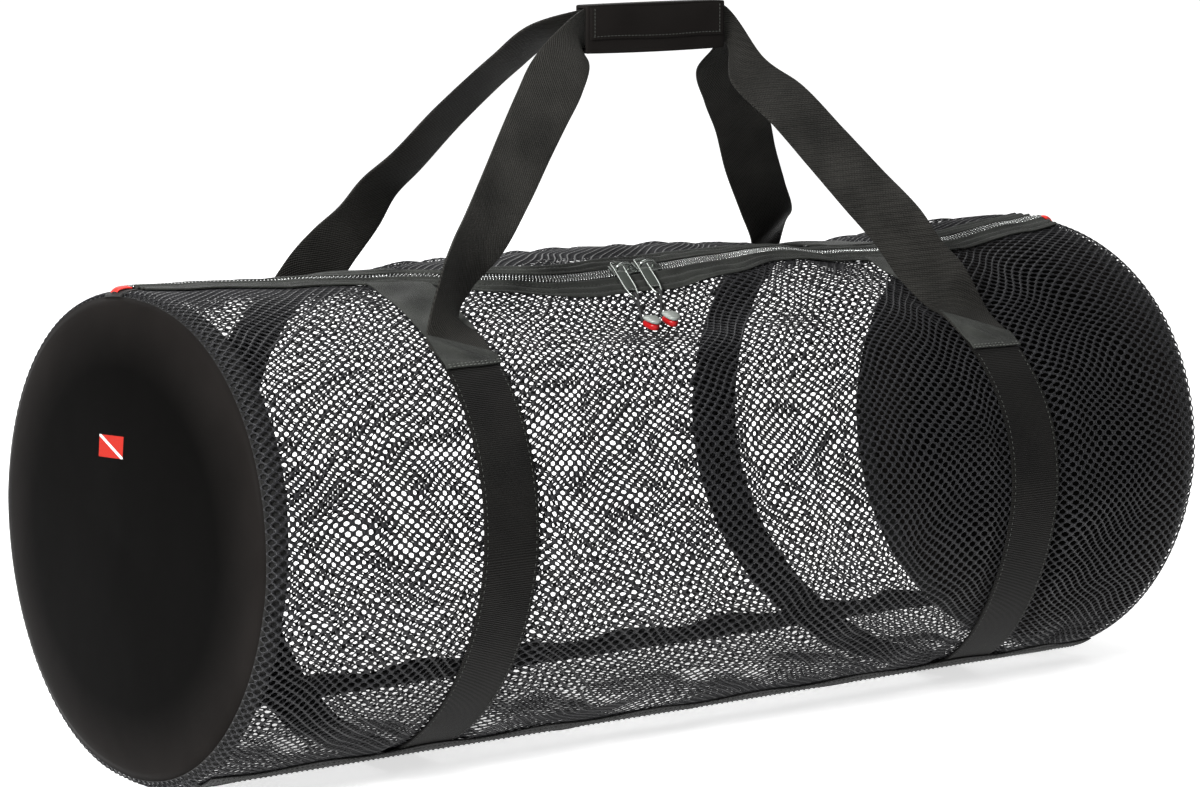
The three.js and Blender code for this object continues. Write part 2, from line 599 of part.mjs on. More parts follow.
// Grip: a padded sleeve round both straps, with a flap stitched down its front.
const SLEEVE_INSIDE = { depth: 2 * (strapThick + STRAP_SPLIT + LAYER_GAP), height: GRIP_HEIGHT - 2 * GRIP_WALL };
const SLEEVE_CORNER = 2;
function roundedRectangle(width, height, radius) {
  const shape = new THREE.Shape();
  const [w, h] = [width / 2, height / 2];
  shape.moveTo(-w + radius, -h);
  shape.lineTo(w - radius, -h);
  shape.absarc(w - radius, -h + radius, radius, -Math.PI / 2, 0);
  shape.lineTo(w, h - radius);
  shape.absarc(w - radius, h - radius, radius, 0, Math.PI / 2);
  shape.lineTo(-w + radius, h);
  shape.absarc(-w + radius, h - radius, radius, Math.PI / 2, Math.PI);
  shape.lineTo(-w, -h + radius);
  shape.absarc(-w + radius, -h + radius, radius, Math.PI, 1.5 * Math.PI);
  return shape;
}
const sleeve = roundedRectangle(
  SLEEVE_INSIDE.depth + 2 * GRIP_WALL,
  GRIP_HEIGHT,
  SLEEVE_CORNER + GRIP_WALL,
);
sleeve.holes.push(roundedRectangle(SLEEVE_INSIDE.depth, SLEEVE_INSIDE.height, SLEEVE_CORNER));
const sleeveGeometry = new THREE.ExtrudeGeometry(sleeve, {
  depth: GRIP_LENGTH,
  bevelEnabled: false,
  curveSegments: 3,
});
const lengthwise = new THREE.Matrix4().makeBasis(
  new THREE.Vector3(0, 1, 0),
  new THREE.Vector3(0, 0, 1),
  new THREE.Vector3(1, 0, 0),
);
sleeveGeometry.applyMatrix4(lengthwise);
piece('grip_sleeve', sleeveGeometry, PANEL)
  .position.set(GRIP_MIDDLE.x - GRIP_LENGTH / 2, GRIP_MIDDLE.y, GRIP_MIDDLE.z);

const FLAP_INSET = 3;
const flapGeometry = new THREE.BoxGeometry(GRIP_LENGTH - 2 * FLAP_INSET, FLAP_WALL, FLAP_DROP, 1, 1, 1);
piece('grip_flap', flapGeometry, PANEL).position.set(
  GRIP_MIDDLE.x,
  GRIP_MIDDLE.y - SLEEVE_INSIDE.depth / 2 - GRIP_WALL - SEAM_GAP - FLAP_WALL / 2,
  GRIP_MIDDLE.z + GRIP_HEIGHT / 2 - SLEEVE_CORNER - FLAP_DROP / 2,
);

// A closed geometry as a solid that can be cut and joined, and back.
function solid(geometry) {
  const bare = geometry.clone();
  bare.deleteAttribute('normal');
  bare.deleteAttribute('uv');
  const merged = mergeVertices(bare, 1e-4);
  return new wasm.Manifold(new wasm.Mesh({
    numProp: 3,
    vertProperties: new Float32Array(merged.attributes.position.array),
    triVerts: new Uint32Array(merged.index.array),
  }));
}
function fromSolid(body) {
  const mesh = body.getMesh();
  const geometry = new THREE.BufferGeometry();
  geometry.setAttribute('position', new THREE.BufferAttribute(mesh.vertProperties, mesh.numProp));
  geometry.setIndex(new THREE.BufferAttribute(mesh.triVerts, 1));
  geometry.computeVertexNormals();
  return geometry;
}

// The frame of a place on the zip: along it, out of the cloth, and across it towards the back.
function zipFrame(x) {
  const angle = zipAngle(x);
  const out = formNormal(stationAt(x), angle);
  const step = 4;
  const alongZip = skin(stationAt(x + step), zipAngle(x + step)).sub(skin(stationAt(x - step), zipAngle(x - step)));
  alongZip.addScaledVector(out, -alongZip.dot(out)).normalize();
  const back = new THREE.Vector3().crossVectors(out, alongZip);
  return { out, alongZip, back };
}

// Sliders: a shield-shaped plate with a channel over the coil, and a bridge that holds the pull tab.
const CHANNEL_HALF = 4.95;
const BRIDGE = { span: 13, height: 5.4, wall: 1.3, width: 3.6, lean: 1.2 };
const SLIDER_OUTLINE = [
  // along (half the SLIDER_LENGTH) and half width (half the SLIDER_WIDTH), the wide end last
  { along: -1, wide: 0.84 },
  { along: -0.35, wide: 0.88 },
  { along: 0.45, wide: 1 },
  { along: 1, wide: 0.9 },
];
function sliderGeometry() {
  const corner = ({ along: u, wide }, edge) => new THREE.Vector2((u * SLIDER_LENGTH) / 2, (edge * wide * SLIDER_WIDTH) / 2);
  const outline = new THREE.Shape([
    ...SLIDER_OUTLINE.map((row) => corner(row, -1)),
    ...SLIDER_OUTLINE.map((row) => corner(row, 1)).reverse(),
  ]);
  const plate = new THREE.ExtrudeGeometry(outline, { depth: SLIDER_TOP - SLIDER_FOOT, bevelEnabled: false });
  plate.translate(0, 0, SLIDER_FOOT);
  const channel = new THREE.BoxGeometry(2 * SLIDER_LENGTH, 2 * CHANNEL_HALF, SLIDER_ROOF);
  channel.translate(0, 0, SLIDER_ROOF / 2);
  const half = BRIDGE.span / 2;
  const root = -0.5;
  const arch = new THREE.Shape([
    new THREE.Vector2(-half, root),
    new THREE.Vector2(-half, BRIDGE.height - BRIDGE.lean),
    new THREE.Vector2(-half + BRIDGE.lean, BRIDGE.height),
    new THREE.Vector2(half - BRIDGE.lean, BRIDGE.height),
    new THREE.Vector2(half, BRIDGE.height - BRIDGE.lean),
    new THREE.Vector2(half, root),
    new THREE.Vector2(half - BRIDGE.wall, root),
    new THREE.Vector2(half - BRIDGE.wall, BRIDGE.height - BRIDGE.wall),
    new THREE.Vector2(-half + BRIDGE.wall, BRIDGE.height - BRIDGE.wall),
    new THREE.Vector2(-half + BRIDGE.wall, root),
  ]);
  const bridge = new THREE.ExtrudeGeometry(arch, { depth: BRIDGE.width, bevelEnabled: false });
  bridge.translate(0, 0, -BRIDGE.width / 2);
  bridge.rotateX(Math.PI / 2);
  bridge.translate(0, 0, SLIDER_TOP);
  return fromSolid(solid(plate).subtract(solid(channel)).add(solid(bridge)));
}

// Pull tab: a flat plate with a window round the bridge's post at its top and an eye at its foot. It
// hangs down from its top edge.
const TAB_WINDOW = { length: 7.5, width: 6.4 };
const TAB_EYE = { length: 3.6, width: 5.4 };
const TAB_RIM = 1.9;
const TAB_CORNER = 2.2;
const POST_DOWN = TAB_RIM + BRIDGE.width / 2 + 0.6;   // from the tab's top edge to the post's middle
function tabGeometry() {
  const w = TAB_WIDTH / 2;
  const c = TAB_CORNER;
  const outline = new THREE.Shape([
    new THREE.Vector2(-w, -c),
    new THREE.Vector2(-w, -TAB_LENGTH + 2 * c),
    new THREE.Vector2(-w + 1.3 * c, -TAB_LENGTH),
    new THREE.Vector2(w - 1.3 * c, -TAB_LENGTH),
    new THREE.Vector2(w, -TAB_LENGTH + 2 * c),
    new THREE.Vector2(w, -c),
    new THREE.Vector2(w - c, 0),
    new THREE.Vector2(-w + c, 0),
  ]);
  const hole = (top, { length, width }) => new THREE.Path([
    new THREE.Vector2(-width / 2, top),
    new THREE.Vector2(width / 2, top),
    new THREE.Vector2(width / 2, top - length),
    new THREE.Vector2(-width / 2, top - length),
  ]);
  outline.holes.push(hole(-TAB_RIM, TAB_WINDOW));
  outline.holes.push(hole(-TAB_LENGTH + TAB_RIM + TAB_EYE.length, TAB_EYE));
  const plate = new THREE.ExtrudeGeometry(outline, { depth: TAB_WALL, bevelEnabled: false });
  plate.translate(0, 0, -TAB_WALL / 2);
  return plate;
}

// Finger pull: a shield, wide at its top and round at its foot, in two halves. Its top edge is at the
// origin and it hangs down.
const PULL_OUTLINE = [
  // down (PULL_LENGTH) and half width (half the PULL_WIDTH)
  { down: 0, wide: 0.86 },
  { down: 0.12, wide: 1 },
  { down: 0.55, wide: 0.93 },
  { down: 0.85, wide: 0.6 },
  { down: 1, wide: 0.2 },
];
function pullHalf(margin, low, high) {
  const corner = ({ down, wide }, edge) => {
    const height = -down * PULL_LENGTH + (down < 0.5 ? margin : -margin);
    return new THREE.Vector2(edge * ((wide * PULL_WIDTH) / 2 + margin), height);
  };
  const outline = new THREE.Shape([
    ...PULL_OUTLINE.map((row) => corner(row, -1)),
    ...PULL_OUTLINE.map((row) => corner(row, 1)).reverse(),
  ]);
  const half = new THREE.ExtrudeGeometry(outline, { depth: high - low, bevelEnabled: false });
  half.translate(0, 0, low);
  return half;
}

// A round cord along a list of points.
const CORD_SIDES = 6;
const CORD_STEPS = 30;
function cordGeometry(path, steps) {
  const curve = new THREE.CatmullRomCurve3(path, false, 'centripetal');
  const frames = curve.computeFrenetFrames(steps, false);
  const points = [];
  const faces = [];
  for (let i = 0; i <= steps; i += 1) {
    const middle = curve.getPointAt(i / steps);
    for (let k = 0; k < CORD_SIDES; k += 1) {
      const turn = (k / CORD_SIDES) * 2 * Math.PI;
      const spoke = frames.normals[i].clone().multiplyScalar(Math.cos(turn));
      spoke.addScaledVector(frames.binormals[i], Math.sin(turn));
      points.push(middle.clone().addScaledVector(spoke, CORD_DIAMETER / 2));
    }
  }
  for (let i = 0; i < steps; i += 1) {
    for (let k = 0; k < CORD_SIDES; k += 1) {
      const [a, b] = [i * CORD_SIDES + k, i * CORD_SIDES + ((k + 1) % CORD_SIDES)];
      faces.push(a, a + CORD_SIDES, b + CORD_SIDES, a, b + CORD_SIDES, b);
    }
  }
  for (const [first, turned] of [[0, false], [steps * CORD_SIDES, true]]) {
    for (let k = 1; k < CORD_SIDES - 1; k += 1) {
      const [b, c] = turned ? [k, k + 1] : [k + 1, k];
      faces.push(first, first + c, first + b);
    }
  }
  return geometryFrom(points, faces);
}

// Puts a geometry in a frame given by its origin and its x, y and z directions.
function placed(geometry, origin, x, y, z) {
  const frame = new THREE.Matrix4().makeBasis(x, y, z).setPosition(origin);
  return geometry.clone().applyMatrix4(frame);
}

// Where each slider, its tab and its finger pull lie. along is measured from the slider's middle and
// beside down the front from the coil's middle, both in millimetres.
const PULLS = [
  { end: -1, foot: { along: -7, beside: 27 }, pull: { along: -15, beside: 76 } },
  { end: 1, foot: { along: -7, beside: 27 }, pull: { along: -17, beside: 72 } },
];
const TAB_OVER_PLATE = 2.4;   // the tab's middle over the slider's plate, at the post
const TAB_OVER_NET = 4.6;     // and over the net at its foot
const PULL_OVER_NET = 2.2;
const PULL_GAP = 0.3;
const BODY_MARGIN = 0.6;      // how far the red half stands out round the pale one
const LOOP_BEND = TAB_WALL / 2 + 0.4 + CORD_DIAMETER / 2;
const CORD_APART = 2.6;       // half the distance between the two strands at the finger pull
const frontPlace = (x, beside, raised) => skin(stationAt(x), fromZip(1, beside)(x), raised);
PULLS.forEach(({ end, foot, pull }, i) => {
  const number = i + 1;
  const x = SLIDERS_MEET + (end * (SLIDER_GAP + SLIDER_LENGTH)) / 2;
  const { out, alongZip, back } = zipFrame(x);
  const base = skin(stationAt(x), zipAngle(x));
  const turned = end > 0 ? -1 : 1;
  const ahead = alongZip.clone().multiplyScalar(turned);
  const across = back.clone().multiplyScalar(turned);
  piece(`slider_${number}`, placed(sliderGeometry(), base, ahead, across, out), GUNMETAL);

  const post = base.clone()
    .addScaledVector(alongZip, -(BRIDGE.span - BRIDGE.wall) / 2)
    .addScaledVector(out, SLIDER_TOP + TAB_OVER_PLATE);
  const tabFoot = frontPlace(x + foot.along, foot.beside, TAB_OVER_NET);
  const tabDown = new THREE.Vector3().subVectors(tabFoot, post).normalize();
  const tabOut = out.clone().addScaledVector(tabDown, -out.dot(tabDown)).normalize();
  const tabUp = tabDown.clone().negate();
  const tabAcross = new THREE.Vector3().crossVectors(tabUp, tabOut);
  const tabTop = post.clone().addScaledVector(tabUp, POST_DOWN);
  piece(`pull_tab_${number}`, placed(tabGeometry(), tabTop, tabAcross, tabUp, tabOut), GUNMETAL);

  const middle = frontPlace(x + pull.along, pull.beside, PULL_OVER_NET);
  const pullStep = 8;
  const above = frontPlace(x + pull.along, pull.beside - pullStep, PULL_OVER_NET);
  const pullOut = formNormal(stationAt(x + pull.along), fromZip(1, pull.beside)(x + pull.along));
  const pullUp = new THREE.Vector3().subVectors(tabFoot, middle).addScaledVector(above.sub(middle), 1);
  pullUp.addScaledVector(pullOut, -pullUp.dot(pullOut)).normalize();
  const pullAcross = new THREE.Vector3().crossVectors(pullUp, pullOut);
  const pullTop = middle.clone().addScaledVector(pullUp, PULL_LENGTH / 2);
  const half = (margin, low, high) => placed(pullHalf(margin, low, high), pullTop, pullAcross, pullUp, pullOut);
  piece(`finger_pull_${number}`, half(0, PULL_BODY + PULL_GAP, PULL_BODY + PULL_GAP + PULL_CAP), PALE);
  piece(`finger_pull_end_${number}`, half(BODY_MARGIN, 0, PULL_BODY), RED);

  const bar = tabTop.clone().addScaledVector(tabDown, TAB_LENGTH);
  const onTab = (down, raised) => bar.clone().addScaledVector(tabDown, down).addScaledVector(tabOut, raised);
  const strandEnd = (edge, inside) => pullTop.clone()
    .addScaledVector(pullUp, BODY_MARGIN + PULL_GAP + inside)
    .addScaledVector(pullOut, PULL_BODY * 0.6)
    .addScaledVector(pullAcross, edge * CORD_APART);
  const eye = -(TAB_RIM + TAB_EYE.length / 2);
  const path = [
    strandEnd(-1, 0),
    strandEnd(-1, 5),
    onTab(2, LOOP_BEND),
    onTab(eye * 0.45, LOOP_BEND),
    onTab(eye * 0.9, LOOP_BEND * 0.7),
    onTab(eye, 0),
    onTab(eye * 0.9, -LOOP_BEND * 0.7),
    onTab(eye * 0.45, -LOOP_BEND),
    onTab(2, -LOOP_BEND),
    strandEnd(1, 5),
    strandEnd(1, 0),
  ];
  piece(`pull_cord_${number}`, cordGeometry(path, CORD_STEPS), WEBBING);
});

export default bag;
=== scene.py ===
# %% [markdown]
# A mesh gear bag, dressed for a studio picture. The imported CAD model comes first, as a fixed frame:
# every new piece is laid over it, in the same place and in metres.
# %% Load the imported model
import math

import bmesh
import bpy
import numpy as np
from mathutils import Matrix, Vector


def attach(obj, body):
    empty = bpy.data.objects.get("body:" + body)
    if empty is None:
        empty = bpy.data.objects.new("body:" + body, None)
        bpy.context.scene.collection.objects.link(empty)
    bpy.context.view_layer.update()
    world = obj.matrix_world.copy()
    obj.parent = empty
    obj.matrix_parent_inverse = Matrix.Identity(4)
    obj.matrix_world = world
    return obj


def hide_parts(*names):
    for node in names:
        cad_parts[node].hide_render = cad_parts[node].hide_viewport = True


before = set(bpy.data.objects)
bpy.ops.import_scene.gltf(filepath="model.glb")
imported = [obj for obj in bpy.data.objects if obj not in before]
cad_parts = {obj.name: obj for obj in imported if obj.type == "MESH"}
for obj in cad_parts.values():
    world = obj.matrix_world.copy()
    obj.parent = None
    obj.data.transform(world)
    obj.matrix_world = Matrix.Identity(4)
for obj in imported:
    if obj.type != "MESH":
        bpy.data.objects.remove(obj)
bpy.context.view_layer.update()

print("packed nodes:", len(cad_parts))

# %% [markdown]
# The picture was taken with a long lens, from the left front and a little above. The camera stands
# where lines drawn back from the bag's rings, panels and zip meet. A long lens keeps both ends of the
# bag nearly the same size.
# %% Camera
CAMERA_TURN = math.radians(33.1)
CAMERA_DROP = math.radians(9.4)
CAMERA_DISTANCE = 2.923
CAMERA_TARGET = Vector((-0.0095, 0.0, 0.2448))
LENS = 113.34
view_line = Vector((
    math.sin(CAMERA_TURN) * math.cos(CAMERA_DROP),
    math.cos(CAMERA_TURN) * math.cos(CAMERA_DROP),
    -math.sin(CAMERA_DROP),
))
camera = bpy.data.objects.new("camera", bpy.data.cameras.new("camera"))
bpy.context.scene.collection.objects.link(camera)
camera.data.lens = LENS
camera.data.sensor_width = 36.0
camera.data.clip_end = 50.0
camera.location = CAMERA_TARGET - CAMERA_DISTANCE * view_line
camera.rotation_euler = view_line.to_track_quat("-Z", "Y").to_euler()
bpy.context.scene.camera = camera
print("camera at", [round(c, 3) for c in camera.location])

# %% [markdown]
# The bag's form is a rounded oval that leans, bends and sinks a little along the bag. The same few
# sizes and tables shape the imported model, so pieces made from them fit it without measuring.
# All of these are millimetres, degrees or shares.
# %% Sizes of the body
BODY_LENGTH = 828.0
PANEL_DEPTH = 416.0
PANEL_HEIGHT = 344.0
BELLY = 8.0
RIM_TURN = 13.0
FLOOR_PRESS = 4.0
TAPER = 0.08
ROUNDNESS = 2.14
SEAM_GAP = 0.35
LAYER_GAP = 0.6
WEBBING_WALL = 1.8
WEBBING_WIDTH = 45.0
RING_LEFT = -224.0
RING_RIGHT = 248.0
BORDER_EDGE = 24.0
TAPE_HALF = 14.0
SEAM_ANGLE = 151.0
SEAM_BAND = 26.0
HALF_LENGTH = BODY_LENGTH / 2
MID_HEIGHT = BELLY + PANEL_HEIGHT / 2 - FLOOR_PRESS
RADIUS_TOP = PANEL_DEPTH / 2 + BELLY
RING_HALF = WEBBING_WIDTH / 2
RING_SHOULDER = 6.0
RING_SINK = LAYER_GAP + WEBBING_WALL
MM = 0.001

# %% [markdown]
# A soft bag has no exact shape, so short tables give it: where the zip runs, how far the top rises,
# the sides swell and the form leans at a few places along it, and where the cloth is dented. They are
# shares of the sizes above, so the bag keeps its look when a size changes.
# %% Tables of the body along its length, and of the dents in it
# at, zip, rise, swell, lean, hook
BODY = np.array([
    (-0.5, -0.085, -0.01, 0, 0.06, 0),
    (-0.44, -0.062, -0.014, 0.002, 0.06, 0),
    (-0.35, -0.02, -0.018, 0.004, 0.06, 0),
    (-0.27, 0.036, -0.014, 0, 0.06, 0),
    (-0.19, 0.115, -0.004, 0.003, 0.05, 0),
    (-0.12, 0.14, 0, 0.006, 0.035, 0),
    (0, 0.128, 0.002, 0.008, 0.01, -0.02),
    (0.09, 0.11, -0.004, 0.006, 0, -0.06),
    (0.18, 0.075, -0.014, 0.003, 0, -0.12),
    (0.25, 0.075, -0.032, 0, 0, -0.16),
    (0.32, 0.088, -0.034, 0.003, 0, -0.18),
    (0.38, 0.085, -0.022, 0.004, 0.01, -0.14),
    (0.45, 0.055, -0.006, 0.004, 0.04, -0.05),
    (0.5, 0.03, 0, 0.004, 0.055, 0),
])
COLUMN = {"zip": 1, "rise": 2, "swell": 3, "lean": 4, "hook": 5}
# along, around, length, spread, depth
DENTS = (
    (-0.03, 30, 0.19, 17, 0.06),
    (0.0, -34, 0.18, 20, 0.016),
    (-0.38, 48, 0.07, 26, 0.009),
    (0.39, 46, 0.07, 24, 0.01),
    (0.1, 96, 0.13, 22, -0.008),
    (-0.13, 118, 0.1, 20, 0.009),
)


def smooth(t):
    s = np.clip(t, 0, 1)
    return s * s * (3 - 2 * s)


def along(x, column):
    """A column of the body's table at x, easing from row to row."""
    values = BODY[:, COLUMN[column]]
    at = np.clip(np.asarray(x, float) / BODY_LENGTH, -0.5, 0.5)
    row = np.clip(np.searchsorted(BODY[:, 0], at), 1, len(BODY) - 1)
    t = (at - BODY[row - 1, 0]) / (BODY[row, 0] - BODY[row - 1, 0])
    return values[row - 1] + (values[row] - values[row - 1]) * smooth(t)


def dent(x, degrees):
    depth = np.zeros(np.broadcast(x, degrees).shape)
    for at, around, length, spread, share in DENTS:
        u = (x / BODY_LENGTH - at) / length
        v = (degrees - around) / spread
        depth += share * PANEL_HEIGHT * np.exp(-1.6 * (u * u + v * v))
    return depth


# %% [markdown]
# A place on the bag is named by a station along it and an angle round from the top. Stations 0 to 1
# run over the left rim, 1 to 2 along the body and 2 to 3 over the right rim. The bag could be sculpted
# once and its cloth shrink-wrapped to it, but a function also gives the way out at every place.
# %% The bag's surface as a function
def station(t):
    """Where a station lies along the bag, and how far the net stands out there."""
    turn = np.clip(np.where(t < 1.5, t, 3 - t), 0, 1) * (math.pi / 2)
    inset = RIM_TURN * (1 - np.cos(turn))
    in_rim = (t < 1) | (t > 2)
    rim = np.where(t < 1.5, -1, 1) * (HALF_LENGTH - inset)
    body = (t - 1.5) * (BODY_LENGTH - 2 * RIM_TURN)
    stand = np.where(in_rim, SEAM_GAP + (BELLY - SEAM_GAP) * np.sin(turn), BELLY)
    return np.where(in_rim, rim, body), stand


def station_at(x):
    return 1.5 + np.asarray(x, float) / (BODY_LENGTH - 2 * RIM_TURN)


def section(x, angle, half_depth, half_height):
    cosine, sine = np.cos(angle), np.sin(angle)
    rounded = lambda v: np.sign(v) * np.abs(v) ** (2 / ROUNDNESS)
    narrow = 1 - TAPER * np.maximum(-cosine, 0)
    up = half_height * rounded(cosine)
    shift = along(x, "lean") * up + along(x, "hook") * up * rounded(cosine) ** 2
    return np.stack([x + shift, -half_depth * rounded(sine) * narrow, MID_HEIGHT + up], -1)


def form(t, angle):
    x, stand = station(t)
    body = stand / BELLY
    lift = np.where(np.cos(angle) > 0, along(x, "rise") * PANEL_HEIGHT * body, 0)
    out = stand - dent(x, np.degrees(angle)) * body
    depth = PANEL_DEPTH / 2 + out + along(x, "swell") * PANEL_DEPTH * body
    point = section(x, angle, depth, PANEL_HEIGHT / 2 + out + lift)
    point[..., 2] = np.maximum(point[..., 2], 0)
    return point


def form_normal(t, angle):
    step = 1e-3
    lengthwise = form(np.minimum(t + step, 3), angle) - form(np.maximum(t - step, 0), angle)
    around = form(t, angle + step) - form(t, angle - step)
    normal = np.cross(around, lengthwise)
    return normal / np.linalg.norm(normal, axis=-1, keepdims=True)


def zip_angle(x):
    return np.arcsin(along(x, "zip") * PANEL_DEPTH / RADIUS_TOP)


def ring_sink(x, angle):
    near = np.minimum(np.abs(x - RING_LEFT), np.abs(x - RING_RIGHT))
    beside = 1 - smooth((near - RING_HALF - RING_SHOULDER) / (2 * RING_SHOULDER))
    from_zip = np.abs(angle - zip_angle(x)) * RADIUS_TOP
    return RING_SINK * beside * smooth((from_zip - BORDER_EDGE) / BORDER_EDGE)


def skin(t, angle, raised=0.0):
    """A point on the bag's cloth, in millimetres, raised from the net's outer face."""
    t, angle = np.broadcast_arrays(np.asarray(t, float), np.asarray(angle, float))
    x, _ = station(t)
    lift = np.asarray(raised - ring_sink(x, angle))
    point = form(t, angle) + form_normal(t, angle) * lift[..., None]
    point[..., 2] = np.maximum(point[..., 2], 0)
    return point


def beside_zip(x, distance):
    """The angle at a distance down the front (positive) or back from the zip's middle."""
    return zip_angle(x) + distance / RADIUS_TOP


lowest = skin(station_at(np.linspace(-380, 380, 9)), math.pi)[:, 2].min()
print("lowest cloth at", round(float(lowest), 2), "mm")

# %% [markdown]
# Two helpers carry every flat piece. The first turns a bmesh into an object that rides on the bag.
# The second starts from a grid, lays it in place with a function, and thickens it with Solidify:
# cloth and webbing are flat goods, so a grid with a wall is how they are really made up.
# %% Helpers for new pieces
ROOT = "root"


def adopt(name, shape, finish, replaces=()):
    """Takes a bmesh, or a mesh that is ready."""
    mesh = shape
    if isinstance(shape, bmesh.types.BMesh):
        mesh = bpy.data.meshes.new(name)
        shape.to_mesh(mesh)
        shape.free()
    piece = bpy.data.objects.new(name, mesh)
    bpy.context.scene.collection.objects.link(piece)
    mesh.materials.append(finish)
    mesh.polygons.foreach_set("use_smooth", [True] * len(mesh.polygons))
    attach(piece, ROOT)
    if replaces:
        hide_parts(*replaces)
    return piece


def read_points(mesh):
    points = np.empty(len(mesh.vertices) * 3)
    mesh.vertices.foreach_get("co", points)
    return points.reshape(-1, 3)


def write_points(mesh, points):
    mesh.vertices.foreach_set("co", np.ascontiguousarray(points, np.float32).ravel())
    mesh.update()


def scatter(name, template, origins, runs, outs, finish, replaces=()):
    """One small template repeated at many places, each turned to run and stand its own way."""
    template.verts.index_update()
    shape = np.array([v.co for v in template.verts])
    faces = [[v.index for v in f.verts] for f in template.faces]
    template.free()
    outs = outs / np.linalg.norm(outs, axis=1, keepdims=True)
    runs = runs - outs * (runs * outs).sum(1, keepdims=True)
    runs = runs / np.linalg.norm(runs, axis=1, keepdims=True)
    frames = np.stack([runs, np.cross(outs, runs), outs], 1)
    points = (origins[:, None, :] + shape[None] @ frames).reshape(-1, 3) * MM
    step = len(shape)
    copies = [[i + k * step for i in f] for k in range(len(origins)) for f in faces]
    mesh = bpy.data.meshes.new(name)
    mesh.from_pydata(points, [], copies)
    return adopt(name, mesh, finish, replaces)


def faces_outwards(piece, direction):
    """Turns the faces round if most of them look against the direction given for each vertex."""
    mesh = piece.data
    normals = np.empty(len(mesh.vertices) * 3)
    mesh.vertices.foreach_get("normal", normals)
    agree = (normals.reshape(-1, 3) * direction).sum(1)
    if agree.sum() < 0:
        mesh.flip_normals()


def round_edges(piece, width, segments, sharper_than):
    bevel = piece.modifiers.new("edges", "BEVEL")
    bevel.width = width * MM
    bevel.segments = segments
    bevel.limit_method = "ANGLE"
    bevel.angle_limit = math.radians(sharper_than)


def thicken(piece, wall, rounding=0.0):
    solid = piece.modifiers.new("wall", "SOLIDIFY")
    solid.thickness = wall * MM
    solid.offset = -1
    solid.use_even_offset = True
    if rounding:
        round_edges(piece, rounding, segments=2, sharper_than=50)


def cloth_piece(name, counts, place, size, wall, finish, replaces=(), rounding=0.0):
    """A grid laid by place(a, b), with a and b from 0 to 1; size is its width and length."""
    bm = bmesh.new()
    bm.loops.layers.uv.new("UVMap")
    bmesh.ops.create_grid(bm, x_segments=counts[0], y_segments=counts[1], size=0.5, calc_uvs=True)
    piece = adopt(name, bm, finish, replaces)
    flat = read_points(piece.data)[:, :2] + 0.5
    points, outwards = place(flat[:, 0], flat[:, 1])
    write_points(piece.data, points * MM)
    faces_outwards(piece, outwards)
    uv = piece.data.uv_layers[0].data
    corners = np.empty(len(uv) * 2)
    uv.foreach_get("uv", corners)
    corners = corners.reshape(-1, 2) * np.array(size)
    uv.foreach_set("uv", corners.ravel())
    thicken(piece, wall, rounding)
    print(name, "is", round(size[0]), "by", round(size[1]), "mm of cloth")
    return piece


# %% [markdown]
# Finishes are built from a few shared patterns: ripples for threads, clouds for wear, and a bump for
# relief. Woven goods carry their threads in the piece's own UV map, which is in millimetres, so a
# thread keeps its width wherever the cloth bends. Clouds read the Object coordinates, in metres.
# %% Helpers for finishes
def new_finish(name, colour, roughness, metallic=0.0, sheen=0.0, gloss=0.3):
    finish = bpy.data.materials.new(name)
    finish.use_nodes = True
    shader = finish.node_tree.nodes["Principled BSDF"]
    shader.inputs["Base Color"].default_value = (*colour, 1)
    shader.inputs["Roughness"].default_value = roughness
    shader.inputs["Metallic"].default_value = metallic
    shader.inputs["Sheen Weight"].default_value = sheen
    shader.inputs["Sheen Roughness"].default_value = 0.5
    shader.inputs["Specular IOR Level"].default_value = gloss
    return finish, shader


def node(finish, kind, **values):
    made = finish.node_tree.nodes.new(kind)
    for key, value in values.items():
        setattr(made, key, value)
    return made


def link(finish, source, target):
    finish.node_tree.links.new(source, target)


def math_node(finish, operation, first, second=None, clamp=False):
    made = node(finish, "ShaderNodeMath", operation=operation, use_clamp=clamp)
    for socket, value in zip(made.inputs, (first, second)):
        if value is None:
            continue
        if isinstance(value, (int, float)):
            socket.default_value = value
        else:
            link(finish, value, socket)
    return made.outputs[0]


def uv_axes(finish):
    source = node(finish, "ShaderNodeUVMap")
    split = node(finish, "ShaderNodeSeparateXYZ")
    link(finish, source.outputs[0], split.inputs[0])
    return split.outputs[0], split.outputs[1]


def object_place(finish):
    return node(finish, "ShaderNodeTexCoord").outputs["Object"]


def object_axes(finish):
    split = node(finish, "ShaderNodeSeparateXYZ")
    link(finish, object_place(finish), split.inputs[0])
    return split.outputs


def ripple(finish, coordinate, pitch):
    """A wave from -1 to 1 that repeats every pitch."""
    turned = math_node(finish, "MULTIPLY", coordinate, 2 * math.pi / pitch)
    return math_node(finish, "SINE", turned)


def cloudy(finish, scale, detail=3.0, roughness=0.5):
    noise = node(finish, "ShaderNodeTexNoise")
    noise.inputs["Scale"].default_value = scale
    noise.inputs["Detail"].default_value = detail
    noise.inputs["Roughness"].default_value = roughness
    link(finish, object_place(finish), noise.inputs["Vector"])
    return noise.outputs["Fac"]


def blend_colours(finish, share, dark, light, target):
    ramp = node(finish, "ShaderNodeMix", data_type="RGBA")
    link(finish, share, ramp.inputs[0])
    ramp.inputs[6].default_value = (*dark, 1)
    ramp.inputs[7].default_value = (*light, 1)
    link(finish, ramp.outputs[2], target)


def raise_by(finish, shader, height, distance, strength=1.0):
    bump = node(finish, "ShaderNodeBump")
    bump.inputs["Distance"].default_value = distance * MM
    bump.inputs["Strength"].default_value = strength
    link(finish, height, bump.inputs["Height"])
    link(finish, bump.outputs[0], shader.inputs["Normal"])


